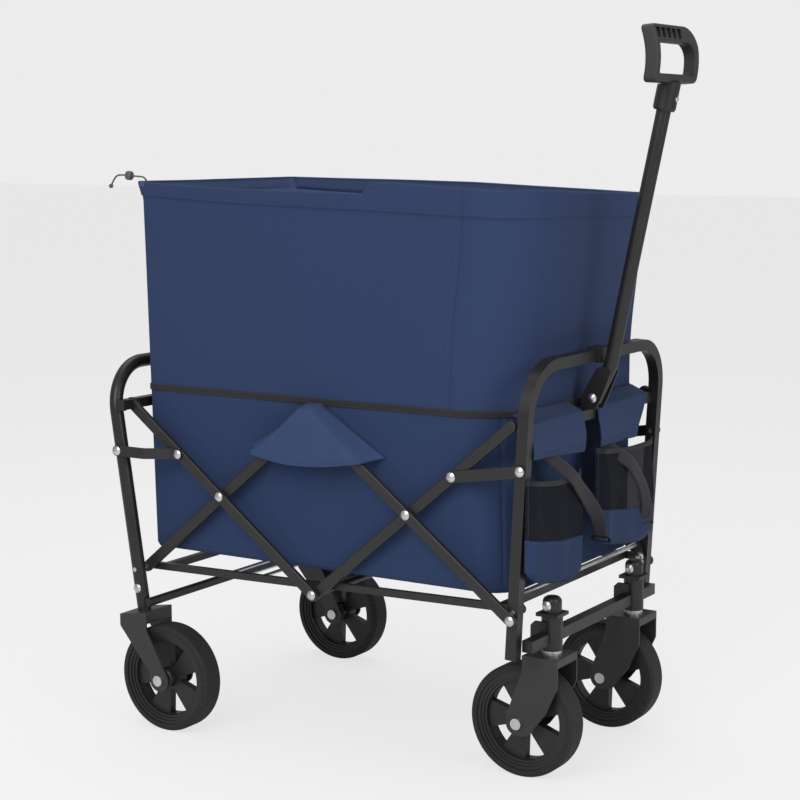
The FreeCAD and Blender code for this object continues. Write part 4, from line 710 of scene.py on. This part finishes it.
def stitch_group():
    """Geometry Nodes: stitches at an even spacing along every line of a mesh."""
    group = bpy.data.node_groups.new("stitch_row", "GeometryNodeTree")
    face = group.interface
    for title, kind in (("Lines", "Geometry"), ("Stitch", "Object"), ("Spacing", "Float"),
                        ("Thread", "Material")):
        face.new_socket(title, in_out="INPUT", socket_type="NodeSocket" + kind)
    face.new_socket("Stitches", in_out="OUTPUT", socket_type="NodeSocketGeometry")

    def add(kind, **settings):
        made = group.nodes.new(kind)
        for setting, choice in settings.items():
            setattr(made, setting, choice)
        return made

    taken, given = add("NodeGroupInput"), add("NodeGroupOutput")
    curve = add("GeometryNodeMeshToCurve")
    spaced = add("GeometryNodeResampleCurve", mode="LENGTH")
    heading = add("GeometryNodeInputTangent")
    turned = add("FunctionNodeAlignRotationToVector", axis="X")
    shape = add("GeometryNodeObjectInfo")
    placed = add("GeometryNodeInstanceOnPoints")
    real = add("GeometryNodeRealizeInstances")
    painted = add("GeometryNodeSetMaterial")
    for source, output, sink, entry in (
            (taken, "Lines", curve, "Mesh"),
            (curve, "Curve", spaced, "Curve"),
            (taken, "Spacing", spaced, "Length"),
            (heading, "Tangent", turned, "Vector"),
            (taken, "Stitch", shape, "Object"),
            (spaced, "Curve", placed, "Points"),
            (shape, "Geometry", placed, "Instance"),
            (turned, "Rotation", placed, "Rotation"),
            (placed, "Instances", real, "Geometry"),
            (real, "Geometry", painted, "Geometry"),
            (taken, "Thread", painted, "Material"),
            (painted, "Geometry", given, "Stitches")):
        group.links.new(source.outputs[output], sink.inputs[entry])
    return group


stitch_rows = stitch_group()
stitch_shape = stitch_object()
thread = Finish("thread", Base_Color=(0.058, 0.078, 0.145, 1.0), Roughness=0.6)
black_thread = Finish("black_thread", Base_Color=(0.045, 0.045, 0.048, 1.0), Roughness=0.6)


def stitched(name, lines, body, finish):
    """Rows of stitches along lines of places, made one mesh."""
    mesh = bpy.data.meshes.new(name)
    places, edges = [], []
    for line in lines:
        start = len(places)
        places += [tuple(place) for place in line]
        edges += [(index, index + 1) for index in range(start, len(places) - 1)]
    mesh.from_pydata(places, edges, [])
    holder = bpy.data.objects.new(name, mesh)
    bpy.context.collection.objects.link(holder)
    rows = holder.modifiers.new("rows", "NODES")
    rows.node_group = stitch_rows
    entries = stitch_rows.interface.items_tree
    sockets = {entry.name: entry.identifier for entry in entries if entry.in_out == "INPUT"}
    rows[sockets["Stitch"]] = stitch_shape
    rows[sockets["Spacing"]] = stitch_spacing
    rows[sockets["Thread"]] = finish.material
    made = evaluated(holder)
    made.name = name
    return put(name, made, finish, body)


def hem_line(share, proud):
    """Line round the upper half at a share of the hem's height."""
    line = []
    for column in columns:
        height = hem_height(column, share)
        line.append(wall_place(column, height, upper_out(column, height) + proud))
    return line


def rise_line(column, low, high, out, proud=0.0004):
    """Upright line on a wall."""
    heights = [low + (high - low) * step / 40 for step in range(41)]
    return [wall_place(column, height, out(column, height) + proud) for height in heights]


def tub_line(height, proud=0.0004):
    """Level line round the tub."""
    return [wall_place(column, height, tub_out(column, height) + proud) for column in columns]


hem_lines = [hem_line(0.08, 0.0022), hem_line(0.93, 0.0017)]
hem_stitches = stitched("hem_stitches", hem_lines, "rear_frame", thread)
seam_stitches = stitched("seam_stitches", [
    rise_line(("near", upper_seam - 0.009, 0.0), tub_rim + 0.010, 0.966, upper_out),
    rise_line(("near", 1.0, tub_seam + 0.045), bag_floor + 0.012, tub_rim - 0.010, tub_out),
    tub_line(bag_floor + 0.012)], "rear_frame", thread)
ribbon_stitches = stitched("ribbon_stitches", [
    [wall_place(column, tub_rim + shift, max(upper_out(column, tub_rim), tub_out(column, tub_rim)) + 0.0023)
     for column in columns] for shift in (-0.0044, 0.0044)], "rear_frame", black_thread)


# ---------------- rear loops
# Two loops of black webbing, sewn to the rear wall above the binding, hang the bag on the rear arch's tube.
strap_cloth = webbing("strap_webbing", (0.026, 0.024, 0.030), 0.0026)
arch_low, arch_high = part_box("rear_arch")
arch_radius, loop_radius, loop_half = 0.0125, 0.0138, 0.0125
webbing_thickness = 0.0016
arch_x, arch_z = arch_low.x + arch_radius, arch_high.z - arch_radius
for name, share in (("far", 0.20), ("near", 0.80)):
    wall_top = wall_place(("rear", share, 0.0), arch_z + 0.002, 0.0)
    wall_foot = wall_place(("rear", share, 0.0), arch_z - 0.016, 0.0)
    path = [wall_top, wall_top.lerp(Vector((arch_x + loop_radius, wall_top.y, arch_z + 0.010)), 0.6)]
    for degrees in range(60, 301, 20):
        turn = math.radians(degrees)
        path.append(Vector((arch_x + loop_radius * math.cos(turn), wall_top.y,
                            arch_z + loop_radius * math.sin(turn))))
    path += [wall_foot.lerp(Vector((arch_x + loop_radius, wall_top.y, arch_z - 0.012)), 0.6), wall_foot]
    rows = [[(spot + Vector((0.0, loop_half * reach, 0.0)), 0.008 * step, loop_half * reach)
             for reach in (-1.0, -0.5, 0.0, 0.5, 1.0)] for step, spot in enumerate(path)]
    cloth_piece("bag_loop_" + name, rows, webbing_thickness, strap_cloth, "rear_frame", offset=0.0)


# ---------------- side flaps
# A kite of the bag's cloth on each side is sewn to the tub along its two upper edges and tented over the
# joint where the bars cross under the rim, so that the moving bars can't pinch the load. Its hem hangs free.
flap_cloth = oxford("flap_cloth", (0.042, 0.070, 0.160))
flap_low, flap_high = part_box("side_flaps")
flap_middle = (flap_low.x + flap_high.x) / 2
flap_width = 0.30
flap_half, flap_crown, flap_tip = (flap_high.x - flap_low.x) / 2, 0.013, 0.5475
flap_top, flap_dip = flap_high.z + 0.002, flap_low.z + 0.001
flap_base, flap_peak = bag_half + 0.0005, flap_high.y + 0.0035
flap_thickness, flap_wave, flap_slack = 0.0018, 0.0022, 0.0030
flap_lowest, rear_hollow, front_hollow = -0.15, 0.0065, 0.0025


def gather(piece):
    """Gives a piece its own copy of its mesh."""
    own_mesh(piece)


def flap_place(side, share, fall, proud=0.0):
    """Place on a flap, by share of its half width and of its height."""
    reach = abs(share) * flap_half
    slope = (flap_top - flap_tip) / (flap_half - flap_crown)
    along = max(0.0, reach - flap_crown) / (flap_half - flap_crown)
    hollow = rear_hollow if share < 0.0 else front_hollow
    top = flap_top - along * (flap_top - flap_tip) - hollow * math.sin(math.pi * along)
    side_reach = 1.0 - flap_lowest if share > flap_lowest else 1.0 + flap_lowest
    low = flap_dip + (flap_tip - flap_dip) * ((share - flap_lowest) / side_reach) ** 2
    height = top + (low - top) * fall
    inside = (top - height) / math.hypot(1.0, slope)
    width = 0.007 + (0.022 if share > 0.0 else 0.014) * abs(share)
    tent = smooth(inside, -0.002, width)
    tent = max(tent, 0.0) * (1.0 - smooth(abs(share), 0.80, 1.0))
    wave = flap_wave * noise.noise(Vector((share * 3.0, fall * 2.5, side * 4.0))) * smooth(fall, 0.2, 1.0)
    slack = flap_slack * hump(fall) * math.cos(share * 9.0) * smooth(abs(share), 0.15, 0.6)
    y = flap_base + (flap_peak - flap_base) * tent + (wave - abs(slack)) * tent + proud
    return Vector((flap_middle + share * flap_half, side * y, height))


for name, side in (("near", -1.0), ("far", 1.0)):
    rows = []
    for step in range(29):
        fall = step / 28
        row = []
        for count in range(65):
            share = count / 32 - 1.0
            place = flap_place(side, share, fall, 0.0012 if fall > 0.93 else 0.0)
            row.append((place, share * flap_half, place.z))
        rows.append(row if side > 0 else row[::-1])
    flap = cloth_piece("side_flap_" + name, rows, flap_thickness, flap_cloth, "rear_frame")
    if side < 0:
        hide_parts("side_flaps")
    flap_seams = stitched("flap_stitches_" + name, [
        [flap_place(side, count / 32 - 1.0, 0.925, 0.0018) for count in range(3, 62)],
        [flap_place(side, count / 32 - 1.0, 0.06, 0.0012) for count in range(2, 63)]], "rear_frame", thread)
    gather(flap)
    gather(flap_seams)
    declare_sheet(flap, flap_width)


# ---------------- front pockets
# Two patch pockets hang ahead of the front wall: a navy base gathered into a rounded pouch, a black net panel
# above it and an elastic edge that pulls the mouth in.
pocket_cloth = oxford("pocket_cloth", (0.025, 0.043, 0.106))
net = Finish("net_panel", Roughness=0.8, Specular_IOR_Level=0.2)
net_across, net_up = net.parts(net.along())[:2]
net_count = 2.0 * math.pi / 0.0022
holes = ((net_across + net_up * 0.58) * net_count).sine() * ((net_across - net_up * 0.58) * net_count).sine()
net_shade = net.cloud(net.place(), 18.0)
net.give(Base_Color=net.blended(net_shade, (0.004, 0.005, 0.009), (0.011, 0.014, 0.022)),
         Alpha=net.between(holes.size(), 0.02, 0.22, 1.0, 0.80), Normal=net.relief(holes, 0.0004, 0.6))
elastic = webbing("elastic_edge", (0.013, 0.013, 0.017), 0.0014)
pouch_depth, pouch_folds, pleat_depth = 0.0165, 0.006, 0.0014
mouth_rise, mouth_slant, elastic_start = 0.004, 0.010, 0.93
foot_drop, foot_lift, corner_round, corner_lift = 0.005, 0.016, 0.010, 0.011
base_thickness, net_thickness, elastic_thickness, stitch_lift = 0.0016, 0.0007, 0.0022, 0.0012


def pocket(name, split, sink, spread, tilt):
    """Pouch on the front wall. The mouth dips by sink, the base cloth reaches up to split of the height,
    spread widens it at its two sides, and tilt lets its far side hang lower."""
    low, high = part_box(name)
    low.y, high.y = low.y - spread[0], high.y + spread[1]
    back = low.x + 0.0004
    wide = high.y - low.y
    base_rows, net_rows, edge_rows = [], [], []
    for step in range(41):
        rise = step / 40
        row = []
        for column in range(45):
            share = column / 44
            top = high.z + mouth_rise - sink * hump(share) - mouth_slant * share
            foot = low.z - foot_drop + foot_lift * (1.0 - share) ** 2 - tilt * share
            height = foot + (top - foot) * rise
            round_in = corner_round * (1.0 - smooth(rise, 0.0, 0.12)) ** 2
            height += corner_lift * abs(2.0 * share - 1.0) ** 6 * (1.0 - smooth(rise, 0.0, 0.12))
            y = low.y + round_in + (wide - 2 * round_in) * share
            edge = min(share, 1.0 - share) * wide
            pouch = smooth(edge, -0.001, 0.022) * smooth(rise, -0.02, 0.12)
            pouch *= 1.0 - 0.35 * smooth(rise, 0.55, 1.0)
            fold = noise.noise(Vector((share * 5.0, rise * 1.6, low.y * 7.0)))
            pleat = pleat_depth * math.sin(share * 26.0 + rise * 2.0) * (1.0 - smooth(rise, 0.0, 0.4))
            out = (pouch_depth + pouch_folds * fold + pleat) * pouch
            place = Vector((back + max(0.0006, out), y, height))
            row.append((place, y, height))
        if rise <= split + 0.001:
            base_rows.append(row)
        if rise >= split - 0.001:
            net_rows.append(row)
        if rise > elastic_start:
            edge_rows.append([(place + Vector((0.0012, 0.0, 0.0)), along, up) for place, along, up in row])
    made = []
    for piece_name, rows, thickness, finish, slot in (
            ("_base", base_rows, base_thickness, pocket_cloth, "navy_fabric"),
            ("_net", net_rows, net_thickness, net, "webbing"),
            ("_elastic", edge_rows, elastic_thickness, elastic, "webbing")):
        made.append(cloth_piece(name + piece_name, rows, thickness, finish, "front_frame"))
    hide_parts(name)
    seam = base_rows[-1]
    made.append(stitched(name + "_stitches", [
        [place + Vector((0.0014, 0.0, -0.004)) for place, along, up in seam],
        *[[row[column][0] + Vector((stitch_lift, 0.0, 0.0)) for row in base_rows[2:] + net_rows]
          for column in (1, -2)]], "front_frame", thread))
    declare_sheet(made[0], wide)


pocket("pocket_near", 0.425, 0.008, (0.0, 0.016), 0.014)
pocket("pocket_far", 0.375, 0.007, (0.012, 0.0), 0.016)


# ---------------- pocket flaps
# A flap of the bag's cloth lies over the upper crossbar and falls over the mouth of each pocket, with a
# turned and stitched edge. The far one is pulled in at its free outer corner.
cover_cloth = oxford("cover_cloth", (0.033, 0.053, 0.122))
hanger_low, hanger_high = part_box("front_crossbar_upper")
bend_end = 0.36
cover_belly, cover_lean, cover_wave, corner_pull, edge_fold = 0.0050, 0.0025, 0.0050, 0.0040, 0.0010


def pocket_flap(name, sides, drop, taper, seed):
    """Cover flap between two sides. Drop is the height of its lower edge at both, taper narrows its foot."""
    back = ((0.0, hanger_low.x - 0.012), (0.22, hanger_high.x - 0.002), (0.29, hanger_high.x + 0.0028),
            (bend_end, hanger_high.x + 0.0036), (1.0, hanger_high.x + 0.0036))
    crest = ((0.0, hanger_high.z + 0.017), (0.22, hanger_high.z + 0.0046), (0.29, hanger_high.z + 0.0010),
             (bend_end, hanger_high.z - 0.006))
    rows = []
    for step in range(33):
        fall = step / 32
        hang = max(0.0, fall - bend_end) / (1.0 - bend_end)
        row = []
        for column in range(49):
            share = column / 48
            low = drop[0] + (drop[1] - drop[0]) * share
            height = between(fall, crest) if fall < bend_end else crest[-1][1] + (low - crest[-1][1]) * hang
            y = sides[0] + (sides[1] - taper * smooth(fall, 0.15, 0.95) - sides[0]) * share
            belly = cover_belly * hump(hang * 0.85) + cover_lean * hang
            wave = cover_wave * noise.noise(Vector((share * 3.0, fall * 1.5, seed))) * hang
            pull = corner_pull * smooth(share, 0.55, 1.0) * hang * (taper > 0.0)
            edge = edge_fold if fall > 0.94 or share < 0.03 or share > 0.97 else 0.0
            out = between(fall, back) + max(0.0, belly + wave) + pull + edge
            row.append((Vector((out, y, height)), y, height))
        rows.append(row)
    rows.reverse()
    flap = cloth_piece(name, rows, flap_thickness, cover_cloth, "front_frame")
    seams = stitched(name + "_stitches", [
        [place + Vector((0.0008, 0.0, 0.0)) for place, along, up in rows[3]],
        *[[row[column][0] + Vector((0.0008, 0.0, 0.0)) for row in rows[3:22]] for column in (2, -3)]],
        "front_frame", thread)
    declare_sheet(flap, sides[1] - sides[0])
    return flap


near_flap = pocket_flap("pocket_flap_near", (-0.244, -0.050), (0.570, 0.557), 0.0, 2.0)
pocket_flap("pocket_flap_far", (0.008, 0.216), (0.556, 0.557), 0.062, 6.0)
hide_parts("pocket_flaps")


# ---------------- pocket straps
# A slanting strap of 25 mm webbing crosses each pocket to hold a long load, sewn under the flap and threaded
# through a black bar at its lower end.
strap_width = 0.0250
strap_length, strap_out, strap_return, strap_twist = 0.25, 0.031, 0.010, 0.012
buckle_half, buckle_rise, buckle_wire = 0.0165, 0.0050, 0.0019
strap_back = hanger_high.x - 0.0015
for name, route, lean in (
        ("near", ((-0.180, 0.574), (-0.133, 0.527), (-0.084, 0.480), (-0.048, 0.435), (-0.030, 0.401)), 1.0),
        ("far", ((0.022, 0.566), (0.100, 0.515), (0.147, 0.465), (0.163, 0.417), (0.166, 0.394)), 0.45)):
    rows = []
    spots = [Vector((0.0, y, z)) for y, z in route]
    for step in range(41):
        share = step / 40
        step_along = min(share * 4.0, 3.9999)
        index = int(step_along)
        before, start, end, after = (spots[max(0, min(4, index + shift))] for shift in (-1, 0, 1, 2))
        turn_in = step_along - index
        spot = 0.5 * ((2.0 * start) + (end - before) * turn_in
                      + (2.0 * before - 5.0 * start + 4.0 * end - after) * turn_in ** 2
                      + (3.0 * start - before - 3.0 * end + after) * turn_in ** 3)
        slope = (end - start).lerp(after - end if after != end else end - start, turn_in * 0.5)
        across = Vector((0.0, -slope.z, slope.y)).normalized() * (strap_width / 2)
        spot.x = strap_back + strap_out * smooth(share, 0.0, 0.28) - strap_return * smooth(share, 0.6, 1.0)
        outward = smooth(share, 0.25, 0.95)
        across = across.lerp(Vector((strap_width / 2, 0.0, 0.0)), outward * lean)
        across = across.normalized() * (strap_width / 2)
        spot.x += strap_twist * outward * lean
        rows.append([(spot + across * turn, share * strap_length, turn * strap_width / 2)
                     for turn in (-1.0, -0.6, -0.2, 0.2, 0.6, 1.0)])
    strap = cloth_piece("strap_" + name, rows, webbing_thickness, strap_cloth, "front_frame",
                        offset=1.0)
    if name == "near":
        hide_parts("pocket_straps")
    foot, heading, level = rows[-1][2][0].lerp(rows[-1][3][0], 0.5), slope.normalized(), across.normalized()
    ring = []
    for step in range(49):
        turn = 2.0 * math.pi * step / 48
        spread, reach = math.cos(turn), math.sin(turn)
        long_side = level * buckle_half * math.copysign(abs(spread) ** 0.35, spread)
        short_side = heading * buckle_rise * math.copysign(abs(reach) ** 0.35, reach)
        outward = (level * spread + heading * reach).normalized()
        ring.append([])
        for count in range(13):
            round_turn = 2.0 * math.pi * count / 12
            wire = outward * buckle_wire * math.cos(round_turn)
            depth = Vector((buckle_wire * math.sin(round_turn), 0.0, 0.0))
            place = foot + long_side + short_side + wire + depth
            ring[-1].append((place, turn * 0.01, round_turn * 0.002))
    buckle = "strap_buckle_" + name
    put(buckle, grid_mesh(buckle, ring, closed=True), black_nylon, "front_frame")


# ---------------- socket screw
# A bright cross-head screw holds the socket to the pull handle's tube.
socket_low, socket_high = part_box("handle_socket")
socket_middle = (socket_low + socket_high) / 2
lean = math.radians(11.7)
screw_axis = Vector((math.cos(lean), 0.0, -math.sin(lean)))
screw_seat = socket_middle + screw_axis * 0.0185
screw_shape = bmesh.new()
bmesh.ops.create_uvsphere(screw_shape, u_segments=20, v_segments=10, radius=0.0048)
bmesh.ops.scale(screw_shape, verts=screw_shape.verts, vec=(1.0, 1.0, 0.45))
bmesh.ops.rotate(screw_shape, verts=screw_shape.verts, matrix=screw_axis.to_track_quat("Z", "Y").to_matrix())
bmesh.ops.translate(screw_shape, verts=screw_shape.verts, vec=screw_seat)
put("socket_screw", smooth_mesh("socket_screw", screw_shape), zinc, "handle")


# ---------------- drawcord
# The rim's drawcord leaves the hem at the near rear corner: a short loop of thin braided cord that is
# threaded through a barrel toggle and ends in a knot.
cord_route = [(-0.4232, -0.2340, 1.0060), (-0.4241, -0.2349, 1.0250), (-0.4430, -0.2435, 1.0265),
              (-0.4720, -0.2470, 1.0290), (-0.4870, -0.2460, 1.0280), (-0.4960, -0.2450, 1.0190),
              (-0.5030, -0.2440, 1.0080)]
cord_points = [Vector((x + axles_middle, y, z)) for x, y, z in cord_route]
cord_diameter = 0.0032
cord_curve = bpy.data.curves.new("drawcord_line", "CURVE")
cord_curve.dimensions = "3D"
cord_line = cord_curve.splines.new("NURBS")
cord_line.points.add(len(cord_points) - 1)
for place, point in zip(cord_line.points, cord_points):
    place.co = (*point, 1.0)
cord_line.order_u = 3
cord_line.use_endpoint_u = True
cord_curve.resolution_u = 10
cord_curve.bevel_depth = cord_diameter / 2
cord_curve.bevel_resolution = 4
cord_curve.use_fill_caps = True

braid = Finish("braided_cord", Roughness=0.75)
braid_x, braid_y, braid_z = braid.parts(braid.place())
plait = (braid_x * 2600.0).sine() * ((braid_y + braid_z) * 2600.0).sine()
braid.give(Base_Color=braid.blended(braid.between(plait, -1.0, 1.0), (0.05, 0.05, 0.055), (0.16, 0.16, 0.17)),
           Normal=braid.relief(plait, 0.0004, 0.6))
cord_curve.materials.append(braid.material)
drawcord = bpy.data.objects.new("drawcord_braid", cord_curve)
bpy.context.collection.objects.link(drawcord)
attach(drawcord, "rear_frame")
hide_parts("drawcord")

knot_shape = bmesh.new()
bmesh.ops.create_uvsphere(knot_shape, u_segments=16, v_segments=12, radius=0.0042)
for vertex in knot_shape.verts:
    vertex.co *= 1.0 + 0.16 * noise.noise(vertex.co * 420.0)
bmesh.ops.translate(knot_shape, verts=knot_shape.verts, vec=cord_points[-1])
knot = put("drawcord_knot", smooth_mesh("drawcord_knot", knot_shape), braid, "rear_frame")
finish_node("cord_toggle", moulded("toggle_plastic", (0.085, 0.085, 0.088), 0.42))


# ---------------- bag meshes
# The bag can't follow the scissor. Each of its pieces gets its own copy of its mesh, and the cloth's length
# round the bag is worked out.
for piece in (tub, upper, binding, hem_stitches, seam_stitches, ribbon_stitches):
    gather(piece)
perimeter = along_cloth[-1]
declare_sheet(tub, perimeter)
declare_sheet(upper, perimeter)
